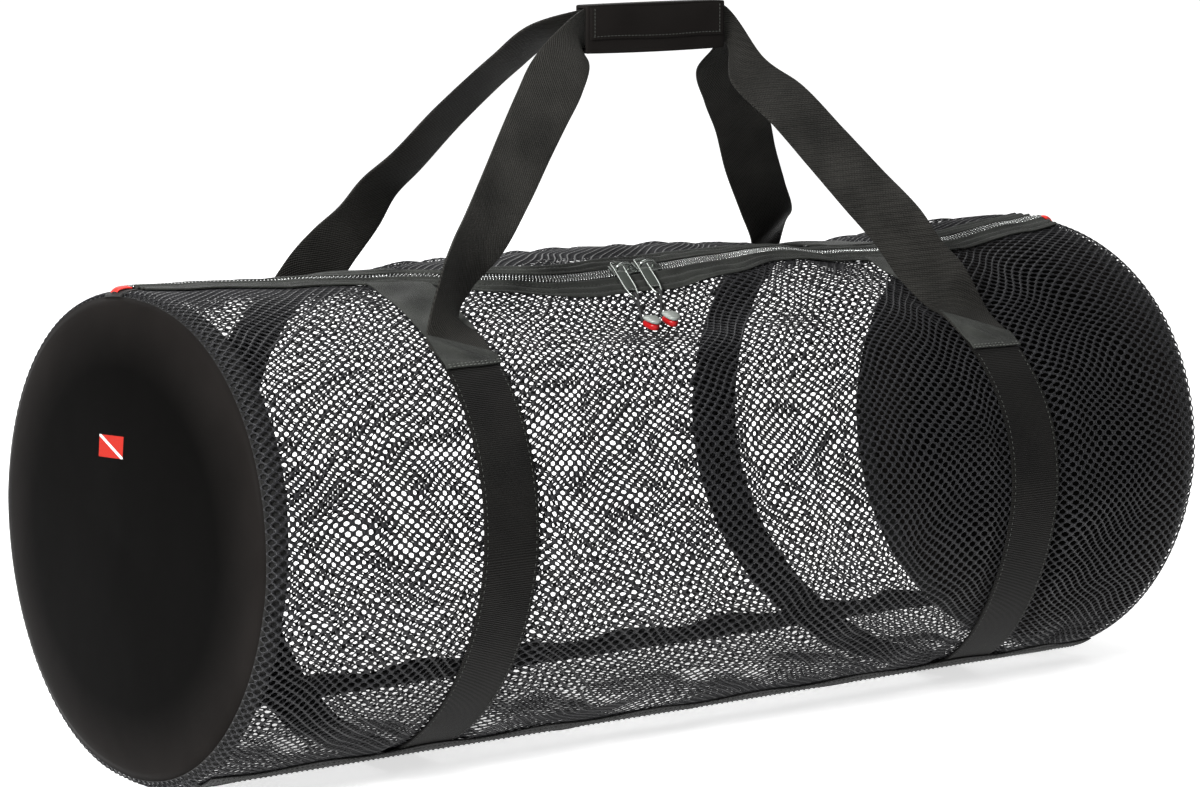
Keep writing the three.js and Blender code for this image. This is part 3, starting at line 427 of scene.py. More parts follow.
def spread_of(finish, value, low, high):
    scaled = node(finish, "ShaderNodeMapRange")
    link(finish, value, scaled.inputs[0])
    scaled.inputs[3].default_value = low
    scaled.inputs[4].default_value = high
    return scaled.outputs[0]


# %% [markdown]
# The net is knitted from black polyester yarn, smooth enough to catch the light. Its holes are real
# ones, cut in the mesh further on, so the finish is only a dark, slightly clouded yarn. A see-through
# material with painted holes would be lighter, but would look flat from close by.
# %% Finish of the net
def net_finish():
    finish, shader = new_finish("net yarn", (0.02, 0.02, 0.022), 0.42, sheen=0.03, gloss=0.2)
    tone = cloudy(finish, 60)
    shade, lit = (0.004, 0.004, 0.0045), (0.013, 0.013, 0.015)
    blend_colours(finish, tone, shade, lit, shader.inputs["Base Color"])
    fibres = cloudy(finish, 1500, detail=1.0)
    raise_by(finish, shader, fibres, 0.15, 0.5)
    return finish


NET_YARN = net_finish()


# %% [markdown]
# Webbing is a thick tape of coarse black yarn, and its threads are too fine to model, so they are a
# bump with a matching change of tone. The handles show a twill. The rings show plain ribs across the
# tape, pulled straight where it is sewn down. The rings' copy is painted darker, as painted shade, and
# the handles' copy is the lit one.
# %% Finish of the webbing
def webbing_finish(name, dark, light, ribbed=0.0):
    """Coarse tape: a twill of ribs and warp threads, or plain cross ribs where ribbed is near 1."""
    finish, shader = new_finish(name, light, 0.55, sheen=0.02, gloss=0.07)
    across, lengthwise = uv_axes(finish)
    ribs = ripple(finish, lengthwise, 1.7)
    warp = ripple(finish, across, 1.9)
    twill = ripple(finish, math_node(finish, "ADD", across, lengthwise), 2.4)
    threads = math_node(finish, "ADD", math_node(finish, "MULTIPLY", ribs, warp), twill)
    twilled = math_node(finish, "MULTIPLY", threads, 1 - ribbed)
    threads = math_node(finish, "ADD", twilled, math_node(finish, "MULTIPLY", ribs, 1.6 * ribbed))
    wear = cloudy(finish, 26, detail=4.0)
    fuzz = cloudy(finish, 900, detail=2.0)
    tone = math_node(finish, "ADD", math_node(finish, "MULTIPLY", threads, 0.2), wear)
    tone = math_node(finish, "ADD", tone, math_node(finish, "MULTIPLY", fuzz, 0.25))
    tone = spread_of(finish, tone, -0.25, 1.0)
    blend_colours(finish, tone, dark, light, shader.inputs["Base Color"])
    raise_by(finish, shader, math_node(finish, "ADD", threads, fuzz), 0.3, 0.9)
    return finish


WEBBING_LIT = webbing_finish("handle webbing", (0.0025, 0.0025, 0.002), (0.029, 0.028, 0.025))
# The same webbing painted darker for the rings: painted shade.
WEBBING_SHADED = webbing_finish("ring webbing", (0.001, 0.001, 0.0009), (0.0085, 0.008, 0.007), 0.85)


# %% [markdown]
# The trim along the zip and over the handles' feet is a plain woven cloth, faded to a grey green. Two
# ripples multiplied give its weave, and a cloud over them gives the worn, uneven tone.
# %% Finish of the trim cloth
def trim_finish(name, dark, light, pitch=0.75):
    finish, shader = new_finish(name, light, 0.6, sheen=0.05, gloss=0.12)
    across, lengthwise = uv_axes(finish)
    weave = math_node(finish, "MULTIPLY", ripple(finish, across, pitch), ripple(finish, lengthwise, pitch))
    wear = cloudy(finish, 34, detail=5.0, roughness=0.6)
    tone = math_node(finish, "ADD", math_node(finish, "MULTIPLY", weave, 0.12), wear)
    blend_colours(finish, spread_of(finish, tone, -0.3, 1.1), dark, light, shader.inputs["Base Color"])
    raise_by(finish, shader, math_node(finish, "ADD", weave, wear), 0.18, 0.7)
    return finish


TRIM_CLOTH = trim_finish("trim cloth", (0.003, 0.0034, 0.003), (0.042, 0.045, 0.039))
DARK_CLOTH = trim_finish("zip tape cloth", (0.004, 0.004, 0.004), (0.014, 0.014, 0.013))


# %% [markdown]
# The end panels are a smooth coated cloth over thin foam, close to black. Towards their rims they are
# painted a little greyer, a painted sheen broken up by clouds. The left one carries a small red flag
# with a white diagonal. It is printed by the material, from the piece's own height and depth, as ink
# has no thickness to model.
# %% Finish of the end panels and the grip
FLAG_MIDDLE = (0.018, 0.2405)
FLAG_HALF = (0.0198, 0.0081)
FLAG_SLOPE = -0.095
STRIPE_HALF = 0.16


def print_flag(finish, shader):
    """A red oblong with a white diagonal, printed on the panel; it is placed across and up."""
    _, y, z = object_axes(finish)
    side = math_node(finish, "SUBTRACT", y, FLAG_MIDDLE[0])
    side = math_node(finish, "MULTIPLY", side, 1 / FLAG_HALF[0])
    level = math_node(finish, "MULTIPLY", side, FLAG_SLOPE * FLAG_HALF[0])
    up = math_node(finish, "SUBTRACT", math_node(finish, "SUBTRACT", z, FLAG_MIDDLE[1]), level)
    up = math_node(finish, "MULTIPLY", up, 1 / FLAG_HALF[1])
    beside = math_node(finish, "LESS_THAN", math_node(finish, "ABSOLUTE", side), 1.0)
    level_with = math_node(finish, "LESS_THAN", math_node(finish, "ABSOLUTE", up), 1.0)
    inside = math_node(finish, "MULTIPLY", beside, level_with)
    diagonal = math_node(finish, "ABSOLUTE", math_node(finish, "SUBTRACT", side, up))
    stripe = math_node(finish, "LESS_THAN", diagonal, STRIPE_HALF)
    ink = node(finish, "ShaderNodeMix", data_type="RGBA")
    link(finish, stripe, ink.inputs[0])
    ink.inputs[6].default_value = (0.3, 0.02, 0.014, 1)
    ink.inputs[7].default_value = (0.55, 0.55, 0.54, 1)
    cloth = shader.inputs["Base Color"].links[0].from_socket
    printed = node(finish, "ShaderNodeMix", data_type="RGBA")
    link(finish, inside, printed.inputs[0])
    link(finish, cloth, printed.inputs[6])
    link(finish, ink.outputs[2], printed.inputs[7])
    link(finish, printed.outputs[2], shader.inputs["Base Color"])


def coated_finish(name, flag):
    finish, shader = new_finish(name, (0.002, 0.002, 0.002), 0.36, gloss=0.004)
    tone = cloudy(finish, 14, detail=2.0)
    grain = cloudy(finish, 1400, detail=2.0)
    _, y, z = object_axes(finish)
    across = math_node(finish, "POWER", math_node(finish, "MULTIPLY", y, 2 / (PANEL_DEPTH * MM)), 2)
    up = math_node(finish, "SUBTRACT", z, MID_HEIGHT * MM)
    up = math_node(finish, "POWER", math_node(finish, "MULTIPLY", up, 2 / (PANEL_HEIGHT * MM)), 2)
    # A painted sheen: the colour lightens towards each panel's rim, clouded by the tone, and edge is its
    # colour. The grip, high above the panels' middle, takes the sheen colour all over.
    rim = math_node(finish, "SUBTRACT", math_node(finish, "ADD", across, up), 0.5)
    rim = math_node(finish, "MULTIPLY", rim, 2, clamp=True)
    painted_rim_sheen = math_node(finish, "MULTIPLY", rim, math_node(finish, "ADD", tone, 0.3))
    middle, edge = (0.0012, 0.0011, 0.001), (0.011, 0.0098, 0.0092)
    blend_colours(finish, painted_rim_sheen, middle, edge, shader.inputs["Base Color"])
    surface = math_node(finish, "ADD", math_node(finish, "MULTIPLY", grain, 0.15), tone)
    raise_by(finish, shader, surface, 1.6, 0.5)
    if flag:
        print_flag(finish, shader)
    return finish


PANEL_CLOTH = coated_finish("panel cloth", False)
FLAG_CLOTH = coated_finish("panel cloth with flag", True)


# %% [markdown]
# The coil is nylon, the sliders and tabs are dark plated metal, and the finger pulls are moulded. Hard
# goods differ in colour, shine and wear, so one helper makes them all. Its roughness is cloudy, which
# breaks up the highlights as on parts that are handled, and is simpler than a layer of scratches.
# %% Finishes of the zip and its hardware
def hard_finish(name, colour, metallic, cloud, low, high):
    """The surface is as rough as low to high, in clouds."""
    finish, shader = new_finish(name, colour, high, metallic)
    tone = cloudy(finish, cloud, detail=4.0)
    link(finish, spread_of(finish, tone, low, high), shader.inputs["Roughness"])
    raise_by(finish, shader, cloudy(finish, cloud * 6), 0.05, 0.3)
    return finish


COIL_PLASTIC = hard_finish("coil plastic", (0.4, 0.41, 0.4), 0.9, 120, 0.2, 0.28)
GUNMETAL = hard_finish("gunmetal", (0.3, 0.32, 0.3), 1.0, 220, 0.16, 0.38)
TAB_PLATE = hard_finish("tab plate", (0.06, 0.068, 0.06), 0.6, 500, 0.4, 0.65)
RED_PLASTIC = hard_finish("red plastic", (0.34, 0.006, 0.007), 0.0, 160, 0.22, 0.38)
RED_TAB = hard_finish("red tab", (0.62, 0.03, 0.022), 0.0, 160, 0.25, 0.4)
PALE_PLASTIC = hard_finish("pale plastic", (0.22, 0.235, 0.22), 0.2, 160, 0.2, 0.36)
STITCH_THREAD = hard_finish("stitch thread", (0.03, 0.032, 0.028), 0.0, 400, 0.35, 0.55)
PALE_THREAD = hard_finish("pale thread", (0.1, 0.105, 0.095), 0.0, 400, 0.3, 0.5)


def cord_finish():
    finish, shader = new_finish("pull cord braid", (0.015, 0.015, 0.015), 0.6)
    across, lengthwise = uv_axes(finish)
    braid = ripple(finish, math_node(finish, "ADD", across, lengthwise), 0.9)
    raise_by(finish, shader, math_node(finish, "ADD", braid, cloudy(finish, 900)), 0.1, 0.6)
    return finish


CORD_BRAID = cord_finish()
print("finishes:", [m.name for m in bpy.data.materials if m.users])

# %% [markdown]
# Both sliders stand where they meet, near the middle of the zip. Each pull tab hangs from the left
# foot of its slider's bridge and lies down the front of the bag, and a loop of thin cord joins its
# eye to the finger pull. These places are worked out first, because the cords follow them.
# %% Places of the sliders, tabs and pulls
SLIDER_LENGTH = 21.0
SLIDER_TOP = 5.0
SLIDER_GAP = 2.8
SLIDERS_MEET = -17.0
BRIDGE_SPAN = 13.0
BRIDGE_WALL = 1.3
BRIDGE_WIDTH = 3.6
TAB_LENGTH = 37.0
TAB_WALL = 1.4
TAB_RIM = 1.9
TAB_EYE = 3.6
PULL_LENGTH = 15.5
PULL_WIDTH = 13.0
PULL_CAP = 3.0
PULL_BODY = 5.0
CORD_DIAMETER = 2.2
CORD_APART = 2.6
BODY_MARGIN = 0.6
PULL_GAP = 0.3
POST_RISE = 2.4
TAB_CLEAR = 0.6
TAB_FOOT_RAISED = 4.6
PULL_RAISED = 2.2
LOOP_BEND = TAB_WALL / 2 + 0.4 + CORD_DIAMETER / 2
# end, the tab's foot (along, beside), the finger pull (along, beside)
PULLS = ((-1, (-7, 27), (-15, 76)), (1, (-7, 27), (-17, 72)))


def unit(v):
    return v / np.linalg.norm(v)


def front_place(x, beside, raised):
    return skin(station_at(x), beside_zip(x, beside), raised)


def zip_frame(x):
    angle = zip_angle(x)
    out = form_normal(station_at(x), angle)
    step = 4.0
    lengthwise = front_place(x + step, 0, 0) - front_place(x - step, 0, 0)
    lengthwise = unit(lengthwise - out * (lengthwise @ out))
    return out, lengthwise, np.cross(out, lengthwise)


def pull_places(end, foot, pull):
    """The frames of one slider, its tab and its finger pull."""
    x = SLIDERS_MEET + end * (SLIDER_GAP + SLIDER_LENGTH) / 2
    out, lengthwise, back = zip_frame(x)
    base = front_place(x, 0, 0)
    post = base - lengthwise * (BRIDGE_SPAN - BRIDGE_WALL) / 2 + out * (SLIDER_TOP + POST_RISE)
    tab_foot = front_place(x + foot[0], foot[1], TAB_FOOT_RAISED)
    down = unit(tab_foot - post)
    tab_out = unit(out - down * (out @ down))
    top = post - down * (TAB_RIM + BRIDGE_WIDTH / 2 + TAB_CLEAR)
    middle = front_place(x + pull[0], pull[1], PULL_RAISED)
    above = front_place(x + pull[0], pull[1] - 8, PULL_RAISED)
    pull_out = form_normal(station_at(x + pull[0]), beside_zip(x + pull[0], pull[1]))
    pull_up = tab_foot - middle + above - middle
    pull_up = unit(pull_up - pull_out * (pull_up @ pull_out))
    facing = -1 if end > 0 else 1
    return {
        "slider": (base, lengthwise * facing, back * facing, out),
        "tab": (top, np.cross(-down, tab_out), -down, tab_out),
        "pull": (middle + pull_up * PULL_LENGTH / 2, np.cross(pull_up, pull_out), pull_up, pull_out),
    }


PLACES = [pull_places(*row) for row in PULLS]
print("tab tops:", [np.round(p["tab"][0], 1).tolist() for p in PLACES])

# %% [markdown]
# Each pull cord is one limp loop: out of the finger pull, up over the foot of the tab, down through
# its eye, back under it and home. A curve with a round bevel keeps its thickness all the way.
# %% Pull cords
def cord_route(place):
    top, _, up, out = place["tab"]
    pull_top, across, pull_up, pull_out = place["pull"]
    bar = top - up * TAB_LENGTH
    on_tab = lambda down, raised: bar - up * down + out * raised
    end = lambda edge, back: (
        pull_top + pull_up * (BODY_MARGIN + PULL_GAP + back)
        + pull_out * PULL_BODY * 0.6 + across * edge * CORD_APART
    )
    eye = -(TAB_RIM + TAB_EYE / 2)
    return [
        end(-1, 0), end(-1, 5), on_tab(2, LOOP_BEND), on_tab(eye * 0.45, LOOP_BEND),
        on_tab(eye * 0.9, LOOP_BEND * 0.7), on_tab(eye, 0), on_tab(eye * 0.9, -LOOP_BEND * 0.7),
        on_tab(eye * 0.45, -LOOP_BEND), on_tab(2, -LOOP_BEND), end(1, 5), end(1, 0),
    ]


def smooth_route(points, steps):
    """More points on a curve through the given ones, an even distance apart."""
    points = np.array(points)
    lengths = np.linalg.norm(np.diff(points, axis=0), axis=1) ** 0.5
    knots = np.concatenate([[0], np.cumsum(lengths)])
    fine = []
    for i in range(len(points) - 1):
        span = knots[i + 1] - knots[i]
        before = knots[max(i - 1, 0)]
        after = knots[min(i + 2, len(points) - 1)]
        m0 = (points[i + 1] - points[max(i - 1, 0)]) / (knots[i + 1] - before) * span
        m1 = (points[min(i + 2, len(points) - 1)] - points[i]) / (after - knots[i]) * span
        for s in np.linspace(0, 1, 12, endpoint=False):
            start, leave = 2 * s**3 - 3 * s**2 + 1, s**3 - 2 * s**2 + s
            stop, arrive = -2 * s**3 + 3 * s**2, s**3 - s**2
            fine.append(start * points[i] + leave * m0 + stop * points[i + 1] + arrive * m1)
    fine = np.array(fine + [points[-1]])
    run = np.concatenate([[0], np.cumsum(np.linalg.norm(np.diff(fine, axis=0), axis=1))])
    even = np.linspace(0, run[-1], steps + 1)
    return np.stack([np.interp(even, run, fine[:, k]) for k in range(3)], -1), run[-1]


CORD_STEPS = 38
for number, place in enumerate(PLACES, 1):
    route, run = smooth_route(cord_route(place), CORD_STEPS)
    curve = bpy.data.curves.new(f"cord_loop_{number}", "CURVE")
    curve.dimensions = "3D"
    curve.bevel_depth = CORD_DIAMETER / 2 * MM
    curve.bevel_resolution = 3
    curve.use_fill_caps = True
    spline = curve.splines.new("POLY")
    spline.points.add(len(route) - 1)
    spline.points.foreach_set("co", np.hstack([route * MM, np.ones((len(route), 1))]).ravel())
    loop = bpy.data.objects.new(f"cord_loop_{number}", curve)
    bpy.context.scene.collection.objects.link(loop)
    curve.materials.append(CORD_BRAID)
    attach(loop, ROOT)
    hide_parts(f"pull_cord_{number}")
    print("cord", number, round(run, 1), "mm long")

# %% [markdown]
# The net is a honeycomb of round holes in staggered rows. One flat sheet of it starts as a grid of
# bricks: every second upright edge is dissolved, so each brick has six corners, and the corners are
# drawn up and down into a honeycomb. Insetting each cell and opening it leaves the yarn. A second
# copy turned inside out gives the yarn its underside, and the two are drawn apart at the ridges, so
# the yarn is lens shaped and needs few faces.
# %% Pattern of the net
HOLE_PITCH = 8.5
ROW_PITCH = 3.9
CELL_HALF = HOLE_PITCH / 2
ZIGZAG = 2.4
HOLE_WIDE = 2.6
HOLE_TALL = 2.22
YARN_HALF = 0.55


def flat_net(columns, rows, keep):
    """A flat net in millimetres with its corner at the origin; keep says which cells stay."""
    bm = bmesh.new()
    bmesh.ops.create_grid(bm, x_segments=columns, y_segments=rows, size=0.5)
    index = {}
    for v in bm.verts:
        i, j = round((v.co.x + 0.5) * columns), round((v.co.y + 0.5) * rows)
        index[v] = (i, j)
        shift = ZIGZAG / 2 if (i + j) % 2 else -ZIGZAG / 2
        v.co = (i * CELL_HALF, j * ROW_PITCH + shift, 0)
    spare = []
    for e in bm.edges:
        (i, j), (k, m) = index[e.verts[0]], index[e.verts[1]]
        if i == k and 0 < i < columns and (i + min(j, m)) % 2 == 0:
            spare.append(e)
    bmesh.ops.dissolve_edges(bm, edges=spare, use_verts=False)
    centres = np.array([f.calc_center_median() for f in bm.faces])[:, :2]
    stays = keep(centres[:, 0], centres[:, 1])
    gone = [f for f, kept in zip(bm.faces[:], stays) if not kept or len(f.verts) < 6]
    bmesh.ops.delete(bm, geom=gone, context="FACES")
    cells = bm.faces[:]
    ridge = bm.verts[:]
    bmesh.ops.inset_individual(bm, faces=cells, thickness=1.0, use_even_offset=True)
    for cell in cells:
        middle = cell.calc_center_median()
        for v in cell.verts:
            away = v.co - middle
            turn = math.atan2(away.y, away.x)
            turn = round((turn - math.pi / 6) / (math.pi / 3)) * math.pi / 3 + math.pi / 6
            v.co = middle + Vector((HOLE_WIDE * math.cos(turn), HOLE_TALL * math.sin(turn), 0))
    bmesh.ops.delete(bm, geom=cells, context="FACES_ONLY")
    count = len(cells)
    under = bmesh.ops.duplicate(bm, geom=bm.verts[:] + bm.edges[:] + bm.faces[:])
    turned = [f for f in under["geom"] if isinstance(f, bmesh.types.BMFace)]
    bmesh.ops.reverse_faces(bm, faces=turned)
    lower = under["vert_map"]
    for v in ridge:
        lower[v].co.z = -YARN_HALF
        v.co.z = YARN_HALF
    bmesh.ops.remove_doubles(bm, verts=bm.verts[:], dist=1e-4)
    bmesh.ops.bridge_loops(bm, edges=[e for e in bm.edges if e.is_boundary])
    bmesh.ops.recalc_face_normals(bm, faces=bm.faces[:])
    return bm, count


# %% [markdown]
# The flat net is then laid on the bag. Its rows are measured along the bag's length and its columns
# round the bag's girth, so holes keep their size over the whole bag. It is drawn a little crooked,
# as slack net is, and gathers into small ridges beside the bottom seam.
# %% Lay the net
GIRTH_ANGLES = np.radians(np.linspace(-180, 360, 1081))
girth_points = form(np.full(len(GIRTH_ANGLES), 1.5), GIRTH_ANGLES)[:, 1:]
GIRTH = np.concatenate([[0], np.cumsum(np.linalg.norm(np.diff(girth_points, axis=0), axis=1))])
RUN_STATIONS = np.linspace(0, 3, 601)
run_points = np.stack([np.array(station(RUN_STATIONS)[0]), np.array(station(RUN_STATIONS)[1])], -1)
RUN = np.concatenate([[0], np.cumsum(np.linalg.norm(np.diff(run_points, axis=0), axis=1))])


def gathers(x, angle):
    """How far the slack net stands off its plain form, in millimetres."""
    degrees = np.degrees(angle)
    away = np.minimum(np.abs(x - RING_LEFT), np.abs(x - RING_RIGHT)) - RING_HALF
    free = smooth((away - 4) / 30) * smooth((HALF_LENGTH - np.abs(x) - 8) / 30)
    low = np.abs(np.abs(degrees) - 140)
    pleats = 0.9 * np.sin(x / 1.25 + 0.6 * np.sin(x / 23)) * smooth(1 - low / 16) * smooth((x - 120) / 60)
    ripples = 1.3 * np.sin(x / 31 + degrees / 17) * np.sin(degrees / 9 - x / 70)
    folds = 1.6 * np.exp(-((degrees - 62 - x / 30) / 7) ** 2) * np.sin(x / 55)
    band = smooth((np.abs(degrees) - 24) / 14) * smooth((146 - np.abs(degrees)) / 12)
    behind_zip = smooth((-degrees - 6) / 6) * smooth((48 + degrees) / 12)
    rumples = 2.4 * np.sin(x / 6.5 + 2 * np.sin(degrees / 5)) * np.sin(degrees / 3.2 + x / 40) * behind_zip
    return free * (pleats * smooth((147 - np.abs(degrees)) / 4) + (ripples + folds) * band + rumples)


def slack(rng, count=7):
    """Smooth random waves over the net, as rows of: waves along, waves round, start, strength."""
    lengths = rng.uniform(38, 130, count)
    ways = rng.uniform(0, 2 * math.pi, count)
    return np.stack([np.cos(ways) / lengths, np.sin(ways) / lengths,
                     rng.uniform(0, 2 * math.pi, count), rng.uniform(0.5, 1, count) * lengths / 90], -1)


def wander(waves, run, girth):
    turns = 2 * math.pi * (run[:, None] * waves[:, 0] + girth[:, None] * waves[:, 1]) + waves[:, 2]
    return (np.sin(turns) * waves[:, 3]).sum(1)


# waves along, round and out of the net; front, under and back
SEEDS = (21, 22, 23)
SLACK = {side: [slack(np.random.default_rng(seed + 10 * side)) for seed in SEEDS]
         for side in (1, 0, -1)}
DRAWN_LONG = 1.248
DRAWN_ROUND = 1.152
BILLOW = 0.8


def lay_net(name, side, run_span, girth_span, keep_angle, replaces=()):
    """A piece of net between two places along the bag and two round it."""
    columns = int((run_span[1] - run_span[0]) / CELL_HALF)
    rows = int((girth_span[1] - girth_span[0]) / ROW_PITCH)
    stretch = (run_span[1] - run_span[0]) / (columns * CELL_HALF)

    def bag_place(u, v):
        run = run_span[0] + u * stretch
        girth = girth_span[0] + v
        t = np.interp(run, RUN, RUN_STATIONS)
        angle = np.interp(girth, GIRTH, GIRTH_ANGLES)
        return t, angle

    def keep(u, v):
        t, angle = bag_place(u, v)
        return keep_angle(station(t)[0], angle)

    bm, count = flat_net(columns, rows, keep)
    piece = adopt(name, bm, NET_YARN, replaces)
    flat = read_points(piece.data)
    t, angle = bag_place(flat[:, 0], flat[:, 1])
    x = station(t)[0]
    inside = smooth((HALF_LENGTH - np.abs(x) - 4) / 40)
    run, girth = np.interp(t, RUN_STATIONS, RUN), np.interp(angle, GIRTH_ANGLES, GIRTH)
    near_ring = np.minimum(np.abs(x - RING_LEFT), np.abs(x - RING_RIGHT)) - RING_HALF
    calm = inside * smooth((near_ring + 8) / 30)
    along_waves, round_waves, out_waves = SLACK[side]
    sag = calm * DRAWN_ROUND * wander(round_waves, run, girth)
    angle = np.interp(girth + sag, GIRTH, GIRTH_ANGLES)
    drift = calm * DRAWN_LONG * wander(along_waves, run, girth)
    t = np.clip(t + drift / (BODY_LENGTH - 2 * RIM_TURN), 0, 3)
    degrees = np.abs(np.degrees(angle))
    seams = smooth((degrees - 20) / 20) * smooth(np.abs(degrees - SEAM_ANGLE) / 12)
    billow = inside * smooth(near_ring / 25) * seams * BILLOW * wander(out_waves, run, girth)
    lift = flat[:, 2] - YARN_HALF + gathers(x, angle) + billow
    write_points(piece.data, skin(t, angle, lift) * MM)
    print(name, count, "holes", 2 * count * 12, "triangles")
    return piece, count


def girth_at(degrees):
    return float(np.interp(math.radians(degrees), GIRTH_ANGLES, GIRTH))


def run_at(x):
    return float(np.interp(station_at(x), RUN_STATIONS, RUN))


BAYS = (("left", 0.0, run_at(RING_LEFT)), ("middle", run_at(RING_LEFT), run_at(RING_RIGHT)),
        ("right", run_at(RING_RIGHT), float(RUN[-1])))
UNDER_BORDER = 17.0
for word, side in (("front", 1), ("back", -1)):
    for bay, start, stop in BAYS:
        spans = sorted((girth_at(side * SEAM_ANGLE), girth_at(-side * 12)))
        tuck = lambda x, angle, side=side: side * (angle - zip_angle(x)) * RADIUS_TOP > UNDER_BORDER
        node_name = (f"net_{word}",) if bay == "middle" else ()
        piece, count = lay_net(f"net_{word}_{bay}", side, (start, stop), spans, tuck, node_name)
spans = (girth_at(SEAM_ANGLE), girth_at(360 - SEAM_ANGLE))
whole = float(RUN[-1])
piece, count = lay_net("net_under", 0, (0.0, whole), spans, lambda x, angle: angle > 0, ("net_bottom",))

# %% [markdown]
# A cloth band covers each bottom seam, where two nets are joined. It could be a curve with a flat
# bevel, but a laid grid keeps the weave in millimetres, and its upper edge can wander with the net.
# %% Seam bands
BAND_HALF = SEAM_BAND / 2 / RADIUS_TOP
BAND_RAISED = 1.4
BAND_WALL = 1.0


def on_bag(x, angle, raised):
    t = station_at(x)
    return skin(t, angle, raised), form_normal(t, angle)


BAND_WAVE = math.radians(1.1)
BAND_LENGTH = BODY_LENGTH - 2 * RIM_TURN
for word, side in (("front", 1), ("back", -1)):
    def band_place(a, b, side=side):
        x = (b - 0.5) * BAND_LENGTH
        wave = BAND_WAVE * np.sin(x / 92 * 2 * math.pi + side) * (1 - a)
        angle = side * (math.radians(SEAM_ANGLE) - BAND_HALF + wave + 2 * BAND_HALF * a)
        crown = 0.5 * np.sin(a * math.pi)
        t = station_at(x)
        normal = form_normal(t, angle)
        return form(t, angle) + normal * (BAND_RAISED + crown)[:, None], normal
    cloth_piece(f"band_{word}", (8, 240), band_place, (SEAM_BAND, BAND_LENGTH), BAND_WALL,
                DARK_CLOTH, (f"seam_band_{word}",), 0.3)

# %% [markdown]
# Two rings of webbing carry the load: each runs from the patch over one handle's foot, under the bag,
# to the other foot. A ring is one long tape laid round the bag, so it takes the bag's dents, and its
# edges are a little uneven, as sewn webbing is. A torus would be too round and too even.
# %% Rings of webbing
# side, ring, the handle's foot and the patch's hem in degrees from the top
CORNERS = {
    "front_left": (1, RING_LEFT, 34.0, 44.5), "front_right": (1, RING_RIGHT, 41.0, 52.5),
    "back_left": (-1, RING_LEFT, 34.0, 44.5), "back_right": (-1, RING_RIGHT, 41.0, 52.5),
}
RING_END = 5.0
for word, ring in (("left", RING_LEFT), ("right", RING_RIGHT)):
    hem = CORNERS[f"front_{word}"][3] - RING_END
    span = math.radians(360 - 2 * hem)

    def ring_place(a, b, ring=ring, hem=hem, span=span):
        x = ring + (a - 0.5) * WEBBING_WIDTH
        angle = math.radians(hem) + span * b
        edge = 0.25 * np.sin(b * 260) * (np.abs(a - 0.5) * 2) ** 6
        return on_bag(x, angle, LAYER_GAP + WEBBING_WALL + edge)
    cloth_piece(f"webbing_ring_{word}", (10, 260), ring_place, (WEBBING_WIDTH, span * 200), WEBBING_WALL,
                WEBBING_SHADED, (f"ring_{word}",), 0.5)

# %% [markdown]
# Strips of the trim cloth run from the zip to each handle's foot, and a patch is sewn over the foot.
# The patch's hem is folded under, so it is a little thicker there. Their slack folds are waves in the
# laid grid, which stay where the picture shows them, where a simulation would put its own.
# %% Strips and patches
TRIM_WALL = 1.1
STRIP_LENGTH = 60.0
STRIP_RAISED = 3.0
PATCH_WALL = 1.2
PATCH_LENGTH = 42.0
PATCH_RAISED = 4.4
PATCH_SLANT = 8.0
for name, (side, ring, foot, hem) in CORNERS.items():
    def strip_place(a, b, side=side, ring=ring, foot=foot):
        x = ring + (a - 0.5) * WEBBING_WIDTH
        start = beside_zip(x, side * (BORDER_EDGE - 3))
        end = side * math.radians(foot - 1.5)
        angle = start + (end - start) * b
        pucker = 1.9 * np.sin(b * 11 + a * 5 + ring) * np.sin(a * math.pi) ** 0.7 * np.sin(b * math.pi)
        return on_bag(x, angle, STRIP_RAISED + pucker)
    cloth_piece(f"foot_strip_{name}", (20, 44), strip_place, (WEBBING_WIDTH, STRIP_LENGTH), TRIM_WALL,
                TRIM_CLOTH, (f"strip_{name}",), 0.3)

    def patch_place(a, b, side=side, ring=ring, foot=foot, hem=hem):
        x = ring + (a - 0.5) * (WEBBING_WIDTH + 1.5)
        top = foot - 1.0 + PATCH_SLANT * a
        angle = side * np.radians(top + (hem - top) * b)
        slack_folds = 1.1 * np.sin(a * 8 - b * 9 + ring) * np.sin(b * math.pi) * np.sin(a * math.pi) ** 0.5
        fold = 0.9 * smooth((b - 0.72) / 0.1) + slack_folds
        return on_bag(x, angle, PATCH_RAISED + fold)
    cloth_piece(f"foot_patch_{name}", (26, 32), patch_place, (WEBBING_WIDTH, PATCH_LENGTH), PATCH_WALL,
                TRIM_CLOTH, (f"patch_{name}",), 0.3)

# %% [markdown]
# Each handle is one length of webbing, sewn under a patch at both feet and folded double through
# the grip. Its legs twist as they rise. Rows give the middle, twist and width of the webbing on its
# way, and a smooth curve through the rows gives the rest.
# %% Handles
GRIP_LENGTH = 126.0
GRIP_HEIGHT = 36.0
GRIP_WALL = 2.6
GRIP = np.array([17.0, -30.0, 529.0])
FOLD_WIDE, FOLD_THICK = 0.62, 2.0
STRAP_SPLIT = 1.0
STRAP_THICK = WEBBING_WALL * FOLD_THICK
